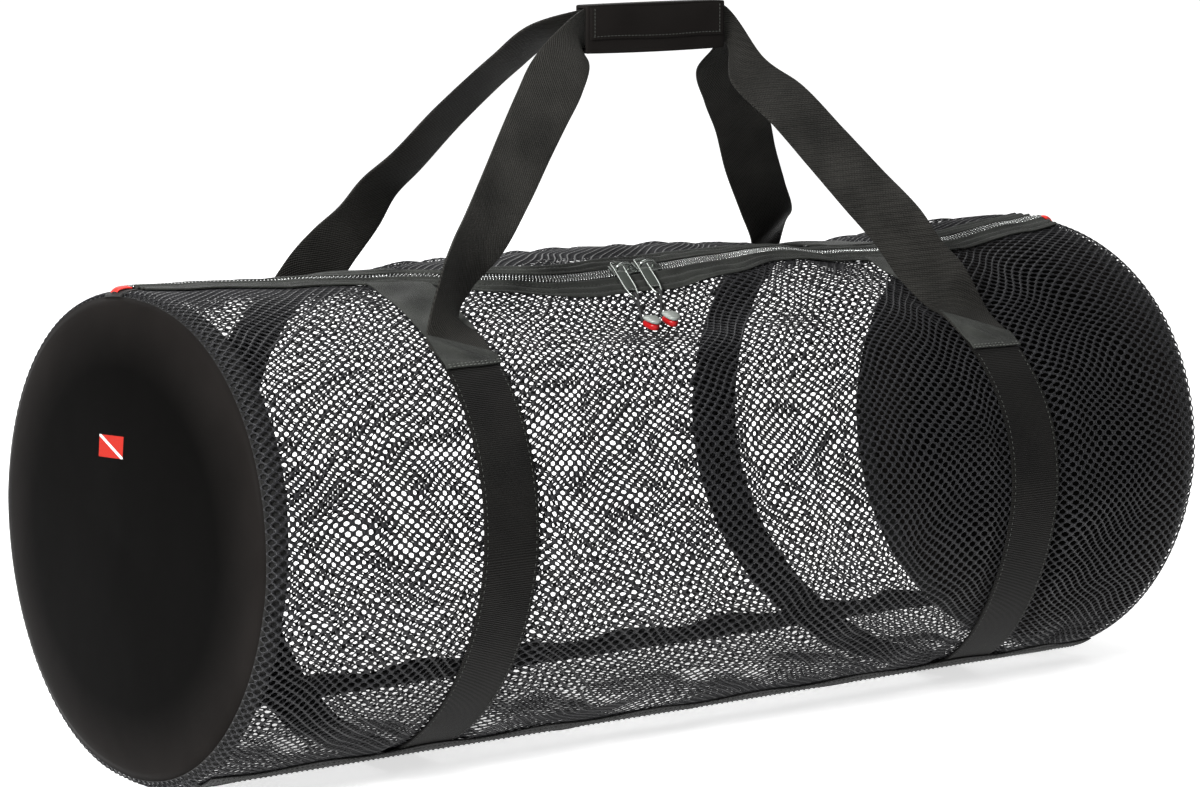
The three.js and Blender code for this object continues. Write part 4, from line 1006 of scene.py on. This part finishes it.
# across, inward, up, turn, wide
LEGS = {
    "front_left": (
        (0, 0.07, 0.14, 26, 1), (0.1, 0.19, 0.23, 20, 1), (0.24, 0.3, 0.32, 4, 1),
        (0.41, 0.45, 0.475, -5, 1), (0.57, 0.6, 0.63, -12, 1), (0.68, 0.71, 0.73, -18, 1),
        (0.8, 0.82, 0.84, -20, 1), (0.92, 0.93, 0.94, -4, 0.8),
    ),
    "front_right": (
        (0.09, 0.09, 0.1, 4, 1), (0.19, 0.19, 0.19, 12, 1), (0.28, 0.28, 0.3, 14, 1),
        (0.43, 0.43, 0.44, 2, 1), (0.58, 0.58, 0.58, -5, 1), (0.74, 0.74, 0.73, -12, 1),
        (0.9, 0.88, 0.84, -14, 0.9),
    ),
    "back_left": (
        (0.09, 0.1, 0.1, 6, 1), (0.17, 0.17, 0.2, -2, 1), (0.25, 0.25, 0.3, -14, 1),
        (0.32, 0.32, 0.41, -24, 1), (0.41, 0.41, 0.5, -30, 1), (0.57, 0.57, 0.69, -33, 1),
        (0.75, 0.75, 0.87, -37, 1), (0.88, 0.88, 0.98, -40, 0.9),
    ),
    "back_right": (
        (-0.03, 0.12, 0.13, 2, 1), (0.05, 0.25, 0.2, -8, 1), (0.2, 0.36, 0.32, -15, 1),
        (0.39, 0.5, 0.47, -24, 1), (0.57, 0.65, 0.63, -28, 1), (0.74, 0.76, 0.76, -20, 1),
        (0.9, 0.88, 0.88, -8, 0.9),
    ),
}


def sewn_row(corner, degrees, from_edge):
    """The webbing's two edges where it lies on the net."""
    side, ring = CORNERS[corner][:2]
    xs = ring + from_edge * np.array([-1, 1]) * RING_HALF
    return skin(station_at(xs), side * math.radians(degrees), LAYER_GAP + WEBBING_WALL / 2)


def handle_rows(side):
    word = "front" if side > 0 else "back"
    grip_y = GRIP[1] - side * (STRAP_SPLIT + STRAP_THICK / 2)
    grip_end = lambda end: np.array([GRIP[0] + end * GRIP_LENGTH / 2, grip_y, GRIP[2]])
    places = []
    for end, corner in ((-1, f"{word}_left"), (1, f"{word}_right")):
        start = skin(station_at(CORNERS[corner][1]), side * math.radians(CORNERS[corner][2]), 1.5)
        way = grip_end(end) - start
        leg = [(start + way * np.array(row[:3]), *row[3:], False) for row in LEGS[corner]]
        places.append(leg)
    inside = [(grip_end(end), 0, FOLD_WIDE, True) for end in (-1.04, -0.4, 0.4, 1.04)]
    places = places[0] + inside + places[1][::-1]
    outward = np.array([0.0, -side, 0.0])
    rows = []
    for i, (at, turn, wide, level) in enumerate(places):
        run = unit(places[min(i + 1, len(places) - 1)][0] - places[max(i - 1, 0)][0])
        run = np.array([1.0, 0, 0]) if level else run
        face = unit(outward - run * (outward @ run))
        angle = math.radians(turn * side)
        face = face * math.cos(angle) + np.cross(run, face) * math.sin(angle)
        across = unit(np.cross(run, face)) * RING_HALF * wide
        rows.append((at - across, at + across))
    corners = (f"{word}_left", f"{word}_right")
    feet = [(sewn_row(c, CORNERS[c][3] - RING_END, e), sewn_row(c, CORNERS[c][2], e))
            for c, e in zip(corners, (side, -side))]
    return np.array([*feet[0], *rows, feet[1][1], feet[1][0]])


def through_rows(rows, share):
    """Both edges of the webbing at a share of its length, on a smooth curve through the rows."""
    middles = rows.mean(1)
    knots = np.concatenate([[0], np.cumsum(np.linalg.norm(np.diff(middles, axis=0), axis=1))])
    slopes = np.gradient(rows.reshape(len(rows), 6), knots, axis=0)
    at = np.clip(share, 0, 1) * knots[-1]
    i = np.clip(np.searchsorted(knots, at, side="right") - 1, 0, len(knots) - 2)
    span = (knots[i + 1] - knots[i])[:, None]
    s = ((at - knots[i])[:, None]) / span
    flat = rows.reshape(len(rows), 6)
    value = (flat[i] * (2 * s**3 - 3 * s**2 + 1) + slopes[i] * span * (s**3 - 2 * s**2 + s)
             + flat[i + 1] * (3 * s**2 - 2 * s**3) + slopes[i + 1] * span * (s**3 - s**2))
    return value.reshape(-1, 2, 3), knots[-1]


for word, side in (("front", 1), ("back", -1)):
    rows = handle_rows(side)

    def handle_place(a, b, rows=rows, side=side):
        edges, _ = through_rows(rows, b)
        nearby, _ = through_rows(rows, b + 0.002)
        before, _ = through_rows(rows, b - 0.002)
        across = edges[:, 1] - edges[:, 0]
        normal = np.cross(nearby.mean(1) - before.mean(1), across)
        normal /= np.linalg.norm(normal, axis=1)[:, None]
        if (normal[:, 1] * side).sum() > 0:
            normal = -normal
        cup = 1.2 * (4 * (a - 0.5) ** 2 - 0.4) * np.sin(b * 23) ** 2
        point = edges[:, 0] + across * a[:, None] + normal * (WEBBING_WALL / 2 + cup)[:, None]
        return point, normal
    total = through_rows(rows, np.array([0.5]))[1]
    cloth_piece(f"webbing_handle_{word}", (12, 360), handle_place, (WEBBING_WIDTH, total), WEBBING_WALL,
                WEBBING_LIT, (f"handle_{word}",), 0.4)
    print("handle", word, round(total), "mm long")

# %% [markdown]
# The grip is a padded sleeve closed round both handles, with a flap stitched down its front. A block
# whose two ends are inset and opened through gives the sleeve, and moving its rows gives the padding.
# It is short and tight, so the fullness is drawn and no cloth simulation is needed.
# %% Grip
SLEEVE_DEPTH = 2 * (STRAP_THICK + STRAP_SPLIT + LAYER_GAP) + 2 * GRIP_WALL


def grip_sleeve():
    bm = bmesh.new()
    bm.loops.layers.uv.new("UVMap")
    bmesh.ops.create_cube(bm, size=1.0, calc_uvs=True)
    size = (GRIP_LENGTH, SLEEVE_DEPTH, GRIP_HEIGHT)
    bmesh.ops.scale(bm, vec=size, verts=bm.verts)
    ends = [f for f in bm.faces if abs(f.normal.x) > 0.9]
    bmesh.ops.inset_region(bm, faces=ends, thickness=GRIP_WALL, use_even_offset=True)
    loops = [e for f in ends for e in f.edges]
    bmesh.ops.delete(bm, geom=ends, context="FACES_ONLY")
    bmesh.ops.bridge_loops(bm, edges=loops)
    long_edges = [e for e in bm.edges if abs((e.verts[0].co - e.verts[1].co).x) > 1]
    bmesh.ops.subdivide_edges(bm, edges=long_edges, cuts=20, use_grid_fill=True)
    for v in bm.verts:
        u = v.co.x / (GRIP_LENGTH / 2)
        v.co.z += 0.8 * (1 - u * u) * (-1 if v.co.z < 0 else 0.4)
        v.co.y *= 1 + 0.12 * (1 - u**4) * (1 - abs(v.co.z) / GRIP_HEIGHT)
    bmesh.ops.translate(bm, vec=GRIP, verts=bm.verts)
    bmesh.ops.scale(bm, vec=(MM, MM, MM), verts=bm.verts)
    bmesh.ops.recalc_face_normals(bm, faces=bm.faces[:])
    return adopt("padded_sleeve", bm, PANEL_CLOTH, ("grip_sleeve",))


sleeve = grip_sleeve()
round_edges(sleeve, 1.6, segments=3, sharper_than=40)
FLAP_DROP = 24.5


def flap_place(a, b):
    x = GRIP[0] + (b - 0.5) * (GRIP_LENGTH - 5)
    drop = FLAP_DROP * a
    y = GRIP[1] - SLEEVE_DEPTH / 2 - 1.9 - 0.9 * np.sin(a * math.pi) * np.sin(b * math.pi)
    z = GRIP[2] + GRIP_HEIGHT / 2 - 1.5 - drop + 0.4 * np.sin(b * 9)
    outwards = np.tile([0.0, -1.0, 0.0], (len(a), 1))
    return np.stack([x, y, z], -1), outwards


cloth_piece("sleeve_flap", (10, 40), flap_place, (FLAP_DROP, GRIP_LENGTH), 1.4, PANEL_CLOTH,
            ("grip_flap",), 0.5)
print("grip sleeve", round(GRIP_LENGTH), "mm long")

# %% [markdown]
# Each end panel is a padded disc. A grid is rolled up into a disc: one side of it becomes the middle
# and the other the rim, which is rolled over softly as foam in a cloth cover is. The foam holds its
# own shape, so the crown follows a formula and needs no cloth simulation.
# %% End panels
PANEL_CROWN = 8.0
PANEL_ROLL = 4.5
PANEL_WALL = 2.4
RIM_GIRTH = 1200.0
for word, end in (("left", -1), ("right", 1)):
    def panel_place(a, b, end=end):
        angle = a * 2 * math.pi
        share = np.clip(b, 1e-5, 1)
        point = section(np.full(len(a), end * HALF_LENGTH), angle,
                        PANEL_DEPTH / 2 * share, PANEL_HEIGHT / 2 * share)
        roll = PANEL_ROLL * np.sqrt(np.clip(1 - share**10, 0, 1))
        crown = (PANEL_CROWN - PANEL_ROLL) * (1 - share**2)
        quilt = 0.5 * np.sin(angle * 2 + 1) * share * (1 - share) * 4
        point[:, 0] += end * (roll + crown + quilt)
        return point, np.tile([float(end), 0, 0], (len(a), 1))
    panel = cloth_piece(f"padded_panel_{word}", (144, 28), panel_place, (RIM_GIRTH, 200), PANEL_WALL,
                        FLAG_CLOTH if end < 0 else PANEL_CLOTH, (f"end_panel_{word}",))
    bm = bmesh.new()
    bm.from_mesh(panel.data)
    bmesh.ops.remove_doubles(bm, verts=bm.verts[:], dist=1e-5)
    bm.to_mesh(panel.data)
    bm.free()

# %% [markdown]
# The zip is sewn to a dark tape, and a folded border of trim cloth runs down each side of it. The
# folds are soft ridges along the border, drawn from a short table, and small puckers cross
# them where the thread pulls.
# %% Zip tape and borders
def tape_place(a, b):
    t = b * 3
    x = station(t)[0]
    angle = beside_zip(x, (a - 0.5) * 2 * TAPE_HALF)
    return skin(t, angle, 0.2), form_normal(t, angle)


cloth_piece("zip_tape_cloth", (8, 200), tape_place, (2 * TAPE_HALF, BODY_LENGTH), TRIM_WALL, DARK_CLOTH,
            ("zip_tape",))
COIL_HALF = 4.6
BORDER_START = COIL_HALF + 1.6
BORDER_RAISED = 1.9
BORDER_WIDTH = 18.0
# where each lengthwise fold lies across the border, how wide it is and how high
BORDER_FOLDS = (
    (0.06, 0.09, 1.7), (0.3, 0.05, -0.7), (0.5, 0.11, 1.1), (0.72, 0.04, -0.7), (0.88, 0.09, 0.8),
)
for word, side in (("front", 1), ("back", -1)):
    def border_place(a, b, side=side):
        x = (b - 0.5) * BAND_LENGTH
        edge = BORDER_EDGE + 1.1 * np.sin(x / 31 + side) + 0.7 * np.sin(x / 12 + side)
        angle = beside_zip(x, side * (BORDER_START + (edge - BORDER_START) * a))
        share = a + 0.05 * np.sin(x / 60 + side) + 0.03 * np.sin(x / 17)
        fold = sum(high * np.exp(-(((share - at) / wide) ** 2)) for at, wide, high in BORDER_FOLDS)
        pucker = 0.4 * np.sin(x / 6 + 3 * np.sin(x / 41)) * np.sin(a * math.pi)
        t = station_at(x)
        return skin(t, angle, BORDER_RAISED + fold + pucker), form_normal(t, angle)
    cloth_piece(f"zip_fold_{word}", (22, 420), border_place, (BORDER_WIDTH, BAND_LENGTH), TRIM_WALL,
                TRIM_CLOTH, (f"zip_border_{word}",), 0.3)

# %% [markdown]
# The coil is two rows of nylon loops that lock into each other. One loop is modelled as a short bar,
# fuller in its middle and leaning, and a few hundred of it stand in two staggered rows. One small
# template repeated keeps the loops alike and the mesh light, which a wound helix would not.
# %% Zip coil
COIL_PITCH = 2.66
LOOP_WIDE = 0.95
LOOP_LONG = 4.2
LOOP_HIGH = 2.6
LOOP_LEAN = 1.3


def coil_loop(side):
    """One loop: a bar across half the coil, bulging at the middle and leaning like its neighbours."""
    loop = bmesh.new()
    bmesh.ops.create_cube(loop, size=1.0)
    sides = [e for e in loop.edges if abs(e.verts[0].co.y - e.verts[1].co.y) > 0.5]
    bmesh.ops.subdivide_edges(loop, edges=sides, cuts=2, use_grid_fill=True)
    for v in loop.verts:
        share = v.co.y * side + 0.5
        high = LOOP_HIGH * (0.72 + 0.45 * math.sin(min(share * 1.25, 1) * math.pi))
        v.co = (v.co.x * LOOP_WIDE + LOOP_LEAN * v.co.y, v.co.y * LOOP_LONG, v.co.z * high)
    bmesh.ops.translate(loop, vec=(0, side * 2.6, LOOP_HIGH / 2 + 0.1), verts=loop.verts)
    long_edges = [e for e in loop.edges if abs(e.verts[0].co.y - e.verts[1].co.y) > 0.5]
    bmesh.ops.bevel(loop, geom=long_edges, offset=0.3, segments=2, affect="EDGES", profile=0.5, material=-1)
    return loop


for word, side in (("front", -1), ("back", 1)):
    xs = np.arange(-BAND_LENGTH / 2 - 4, BAND_LENGTH / 2 + 4, COIL_PITCH)
    xs = xs + (COIL_PITCH / 2 if side < 0 else 0)
    t, angle = station_at(xs), zip_angle(xs)
    base = skin(t, angle, LAYER_GAP)
    ahead = skin(station_at(xs + 2), zip_angle(xs + 2), LAYER_GAP) - base
    scatter(f"coil_row_{word}", coil_loop(side), base, ahead, form_normal(t, angle), COIL_PLASTIC,
            ("zip_coil",) if side < 0 else ())
    print("coil", word, len(xs), "loops")

# %% [markdown]
# A small red tab is folded over each end of the zip, so that its raw end is covered. It is laid like
# the rest of the cloth, along the stations that lead over the rim, and puffed up in its middle.
# %% End tabs
TAB_FROM, TAB_OVER, TAB_OVER_RIGHT, TAB_ACROSS = 0.3, 0.68, 0.42, 10.5
for word, end in (("left", -1), ("right", 1)):
    def tab_place(a, b, end=end):
        over = TAB_OVER if end < 0 else TAB_OVER_RIGHT
        t = 1.5 + end * (1.5 - TAB_FROM - over * b)
        x = station(t)[0]
        angle = beside_zip(x, (a - 0.5) * TAB_ACROSS)
        puff = np.sin(np.clip(a, 0.01, 0.99) * math.pi) ** 0.5
        puff = puff * np.sin(np.clip(b, 0.02, 0.98) * math.pi) ** 0.4
        return skin(t, angle, 1.4 + 2.4 * puff), form_normal(t, angle)
    cloth_piece(f"red_end_{word}", (16, 14), tab_place, (TAB_ACROSS, 16), 1.2, RED_TAB,
                (f"zip_tab_{word}",), 0.3)

# %% [markdown]
# Each slider is die-cast metal: a plate over the coil, a wall down each side, and a bridge for the
# tab. The tab is a bright rail bent round a recessed plate, open at the top for the bridge and at the
# foot for the cord. Rails are wires here, because a round wire catches the light as they do.
# %% Helpers for hardware
def frame_of(place):
    """A matrix from a place's own millimetres to the scene's metres."""
    origin, x, y, z = place
    turn = Matrix([Vector(x), Vector(y), Vector(z)]).transposed().to_4x4()
    return Matrix.Scale(MM, 4) @ Matrix.Translation(Vector(origin)) @ turn


def block(name, place, size, middle, rounding, finish, replaces=(), taper=0.0):
    bm = bmesh.new()
    made = bmesh.ops.create_cube(bm, size=1.0)["verts"]
    bmesh.ops.scale(bm, vec=size, verts=made)
    for v in made:
        v.co.y *= 1 - taper * (0.5 - v.co.x / size[0])
    bmesh.ops.bevel(bm, geom=bm.edges[:], offset=rounding, segments=3, affect="EDGES", profile=0.5,
                    material=-1)
    bmesh.ops.translate(bm, vec=middle, verts=bm.verts)
    bmesh.ops.transform(bm, matrix=frame_of(place), verts=bm.verts)
    bmesh.ops.recalc_face_normals(bm, faces=bm.faces[:])
    return adopt(name, bm, finish, replaces)


def wire(name, place, points, radius, closed, finish, replaces=()):
    """A round rail through a few points of a place's own frame."""
    matrix = frame_of(place)
    curve = bpy.data.curves.new(name, "CURVE")
    curve.dimensions = "3D"
    curve.bevel_depth = radius * MM
    curve.bevel_resolution = 3
    curve.use_fill_caps = not closed
    curve.resolution_u = 6
    spline = curve.splines.new("BEZIER")
    spline.bezier_points.add(len(points) - 1)
    for knot, point in zip(spline.bezier_points, points):
        knot.co = matrix @ Vector(point)
        knot.handle_left_type = knot.handle_right_type = "AUTO"
    spline.use_cyclic_u = closed
    rail = bpy.data.objects.new(name, curve)
    bpy.context.scene.collection.objects.link(rail)
    curve.materials.append(finish)
    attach(rail, ROOT)
    if replaces:
        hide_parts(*replaces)
    return rail


# %% [markdown]
# The parts of a slider and its tab are separate here, a block or a wire each. One solid would need
# cuts for the slots and the eye, and would lose the round edges that the light picks out.
# %% Sliders and tabs
TAB_RAIL = 0.9
RAIL_LINE = ((4.4, -1.4), (4.55, -7), (4.6, -16), (4.6, -26), (4.1, -30), (3.2, -33.6), (1.6, -35.9))
for number, place in enumerate(PLACES, 1):
    slider, tab = place["slider"], place["tab"]
    block(f"slider_plate_{number}", slider, (SLIDER_LENGTH, 12.6, 1.6), (0, 0, 4.2), 0.7, GUNMETAL,
          (f"slider_{number}",), taper=0.12)
    for side in (-1, 1):
        block(f"slider_wall_{number}_{side}", slider, (17, 1.3, 2.2), (1.5, side * 5.4, 3.2), 0.5, GUNMETAL)
    wire(f"slider_bridge_{number}", slider,
         [(-5.9, 0, 4.8), (-5.5, 0, 7.6), (-3.2, 0, 9.2), (3.2, 0, 9.2), (5.5, 0, 7.6), (5.9, 0, 4.8)],
         1.15, False, GUNMETAL)
    right = [(x, y, TAB_WALL / 2) for x, y in RAIL_LINE]
    left = [(-x, y, z) for x, y, z in right[::-1]]
    foot = [(0, -36.2, TAB_WALL / 2)]
    head = [(-2.6, -0.8, TAB_WALL / 2), (2.6, -0.8, TAB_WALL / 2)]
    wire(f"tab_rail_{number}", tab, right + foot + left + head, TAB_RAIL, True, GUNMETAL,
         (f"pull_tab_{number}",))
    for y in (-9.6, -28.6):
        wire(f"tab_bar_{number}_{round(-y)}", tab, [(-4.3, y, TAB_WALL / 2), (4.3, y, TAB_WALL / 2)],
             TAB_RAIL * 0.9, False, GUNMETAL)
    block(f"tab_plate_{number}", tab, (8.8, 19.4, 0.7), (0, -19.1, 0.6), 0.15, TAB_PLATE)
    print("slider and tab", number, "at", [round(float(c)) for c in slider[0]], "mm")

# %% [markdown]
# A finger pull is moulded in two halves: a red base and a pale cap with three curved grips. A grid is
# rolled into a tube and its ends drawn to points, which gives a shield with soft edges.
# %% Finger pulls
SHIELD_DOWN = (0, 0.12, 0.55, 0.85, 1)
SHIELD_WIDE = (0.86, 1, 0.93, 0.66, 0.35)


def shield(name, place, margin, low, high, grips, finish, replaces):
    bm = bmesh.new()
    bmesh.ops.create_grid(bm, x_segments=40, y_segments=30, size=0.5)
    length = PULL_LENGTH - 2 * margin
    for v in bm.verts:
        turn, down = (v.co.x + 0.5) * 2 * math.pi, v.co.y + 0.5
        close = (1 - abs(2 * down - 1) ** 6) ** 0.5
        wide = (PULL_WIDTH / 2 - margin) * float(np.interp(down, SHIELD_DOWN, SHIELD_WIDE)) * close
        cosine, sine = math.cos(turn), math.sin(turn)
        x = wide * math.copysign(abs(cosine) ** 0.7, cosine)
        bulge = math.copysign(abs(sine) ** 0.6, sine) * close ** 0.5
        z = (low + high) / 2 + (high - low) / 2 * bulge
        if grips and sine > 0.2 and 0.18 < down < 0.86:
            z -= 0.85 * (0.5 + 0.5 * math.sin((down + 0.012 * x * x / 3) * 9 * math.pi)) * close
        v.co = (x, -margin - length * down, z)
    bmesh.ops.remove_doubles(bm, verts=bm.verts[:], dist=1e-3)
    bmesh.ops.transform(bm, matrix=frame_of(place), verts=bm.verts)
    bmesh.ops.recalc_face_normals(bm, faces=bm.faces[:])
    return adopt(name, bm, finish, replaces)


for number, place in enumerate(PLACES, 1):
    pull = place["pull"]
    shield(f"pull_cap_{number}", pull, 0, PULL_BODY + PULL_GAP, PULL_BODY + PULL_GAP + PULL_CAP, True,
           PALE_PLASTIC, (f"finger_pull_{number}",))
    shield(f"pull_base_{number}", pull, BODY_MARGIN, 0, PULL_BODY + 0.1, False, RED_PLASTIC,
           (f"finger_pull_end_{number}",))
print("finger pulls", PULL_WIDTH, "by", PULL_LENGTH, "mm")

# %% [markdown]
# Inside each end, the net is turned over a strip of black lining that binds it to the panel. It shows
# through the net as a dark rim.
# %% Rim linings
for word, end in (("left", -1), ("right", 1)):
    def lining_place(a, b, end=end):
        angle = b * 2 * math.pi
        wide = 19 + 4 * np.sin(angle * 2 + 0.5)
        run = a * wide
        t = np.interp(run if end < 0 else RUN[-1] - run, RUN, RUN_STATIONS)
        return skin(t, angle, -3.0 * smooth(a * 5)), form_normal(t, angle)
    cloth_piece(f"rim_lining_{word}", (6, 200), lining_place, (20, RIM_GIRTH), 0.8, DARK_CLOTH)

# %% [markdown]
# Stitches are small beads of thread, joined into one piece for each seam's colour. Their spacing is
# what a heavy sewing machine leaves.
# %% Stitches
def bead():
    made = bmesh.new()
    bmesh.ops.create_uvsphere(made, u_segments=6, v_segments=4, radius=0.5)
    bmesh.ops.scale(made, vec=(2.5, 0.7, 0.6), verts=made.verts)
    return made


def stitch(name, lines, finish):
    """Lines of stitches; each is (places, outward directions) along a seam, in millimetres."""
    origins = np.vstack([places for places, _ in lines])
    runs = np.vstack([np.gradient(places, axis=0) for places, _ in lines])
    outs = np.vstack([out for _, out in lines])
    scatter(name, bead(), origins + outs * 0.1, runs, outs, finish)
    print(name, len(origins), "stitches")


hems, edges, ring_lines, border_lines, band_lines = [], [], [], [], []
for name, (side, ring, foot, hem) in CORNERS.items():
    for back_off in (0.9, 3.4):
        x = ring + np.linspace(-0.45, 0.45, 13) * WEBBING_WIDTH
        angle = np.full(13, side * (math.radians(hem) - back_off / 210))
        hems.append(on_bag(x, angle, 5.25))
    for edge in (-1, 1):
        start = float(beside_zip(ring, side * (BORDER_EDGE + 2)))
        angle = np.linspace(start, side * math.radians(foot - 2), 16)
        edges.append(on_bag(np.full(16, ring + edge * (RING_HALF - 2.6)), angle, 2.4))
for word, ring in (("left", RING_LEFT), ("right", RING_RIGHT)):
    hem = math.radians(CORNERS[f"front_{word}"][3] + 1.5)
    for edge in (-1, 1):
        angle = np.linspace(hem, 2 * math.pi - hem, 190)
        ring_lines.append(on_bag(np.full(190, ring + edge * (RING_HALF - 2.4)), angle, 2.5))
for side in (-1, 1):
    for share in (0.3, 0.72):
        x = np.linspace(-BAND_LENGTH / 2 + 4, BAND_LENGTH / 2 - 4, 200)
        angle = beside_zip(x, side * (BORDER_START + (BORDER_EDGE - BORDER_START) * share))
        border_lines.append(on_bag(x, angle, 2.0))
    for across in (-0.36, 0.36):
        x = np.linspace(-BAND_LENGTH / 2 + 4, BAND_LENGTH / 2 - 4, 190)
        angle = np.full(190, side * (math.radians(SEAM_ANGLE) + across * 2 * BAND_HALF))
        places, outs = on_bag(x, angle, 0)
        band_lines.append((form(station_at(x), angle) + outs * 1.9, outs))
stitch("hem_stitches", hems, PALE_THREAD)
stitch("cloth_stitches", edges + border_lines + band_lines, STITCH_THREAD)
stitch("ring_stitches", ring_lines, STITCH_THREAD)
flap_lines = []
for a, b in ((0.9, None), (None, 0.03), (None, 0.97)):
    count = 38 if a else 8
    across = np.linspace(0.03, 0.97, count)
    down = np.full(count, a) if a else np.linspace(0.08, 0.86, count)
    places, outs = flap_place(down, across if a else np.full(count, b))
    flap_lines.append((places, outs))
stitch("flap_stitches", flap_lines, STITCH_THREAD)

# %% [markdown]
# The studio: a pale floor that curves up behind the bag, a white surround, and soft lights from
# above, from the front left and from behind.
# %% Studio
FLOOR_WIDE, FLOOR_DEEP, FLOOR_FRONT, WALL_BEND = 14, 9.5, -5.5, 2.5


def studio():
    bm = bmesh.new()
    bmesh.ops.create_grid(bm, x_segments=8, y_segments=48, size=0.5)
    for v in bm.verts:
        s = v.co.y + 0.5
        flat = min(s / 0.6, 1)
        bend = max(s - 0.6, 0) / 0.4
        turn = bend * math.pi / 2
        away = FLOOR_FRONT + FLOOR_DEEP * flat + WALL_BEND * math.sin(turn)
        v.co = (v.co.x * FLOOR_WIDE, away, WALL_BEND * (1 - math.cos(turn)))
    turn = Matrix.Rotation(-CAMERA_TURN, 4, "Z")
    bmesh.ops.transform(bm, matrix=turn, verts=bm.verts)
    mesh = bpy.data.meshes.new("studio_floor")
    bm.to_mesh(mesh)
    bm.free()
    floor = bpy.data.objects.new("studio_floor", mesh)
    bpy.context.scene.collection.objects.link(floor)
    finish, shader = new_finish("studio paper", (0.82, 0.82, 0.82), 0.9, gloss=0.1)
    shader.inputs["Emission Color"].default_value = (1, 1, 1, 1)
    shader.inputs["Emission Strength"].default_value = 0.68
    mesh.materials.append(finish)
    mesh.polygons.foreach_set("use_smooth", [True] * len(mesh.polygons))


studio()
world = bpy.data.worlds.new("studio light")
world.use_nodes = True
world.node_tree.nodes["Background"].inputs[0].default_value = (1, 1, 1, 1)
world.node_tree.nodes["Background"].inputs[1].default_value = 0.2
bpy.context.scene.world = world
bpy.context.scene.view_settings.view_transform = "Standard"
LIGHTS = (
    ("overhead", (-0.3, 0.1, 2.4), (0, 0, 0.2), 1.6, 38),
    ("left", (-2.7, -1.3, 1.7), (-0.2, 0, 0.3), 1.0, 190),
    ("behind", (0.6, 2.6, 1.7), (0.1, 0, 0.3), 1.6, 30),
)
for name, spot, aim, size, power in LIGHTS:
    lamp = bpy.data.lights.new(name, "AREA")
    lamp.size = size
    lamp.energy = power
    light = bpy.data.objects.new(name, lamp)
    light.location = spot
    light.rotation_euler = (Vector(aim) - Vector(spot)).to_track_quat("-Z", "Y").to_euler()
    bpy.context.scene.collection.objects.link(light)

# %% [markdown]
# Last, the scene is brought up to date.
# %% Finish
bpy.context.view_layer.update()
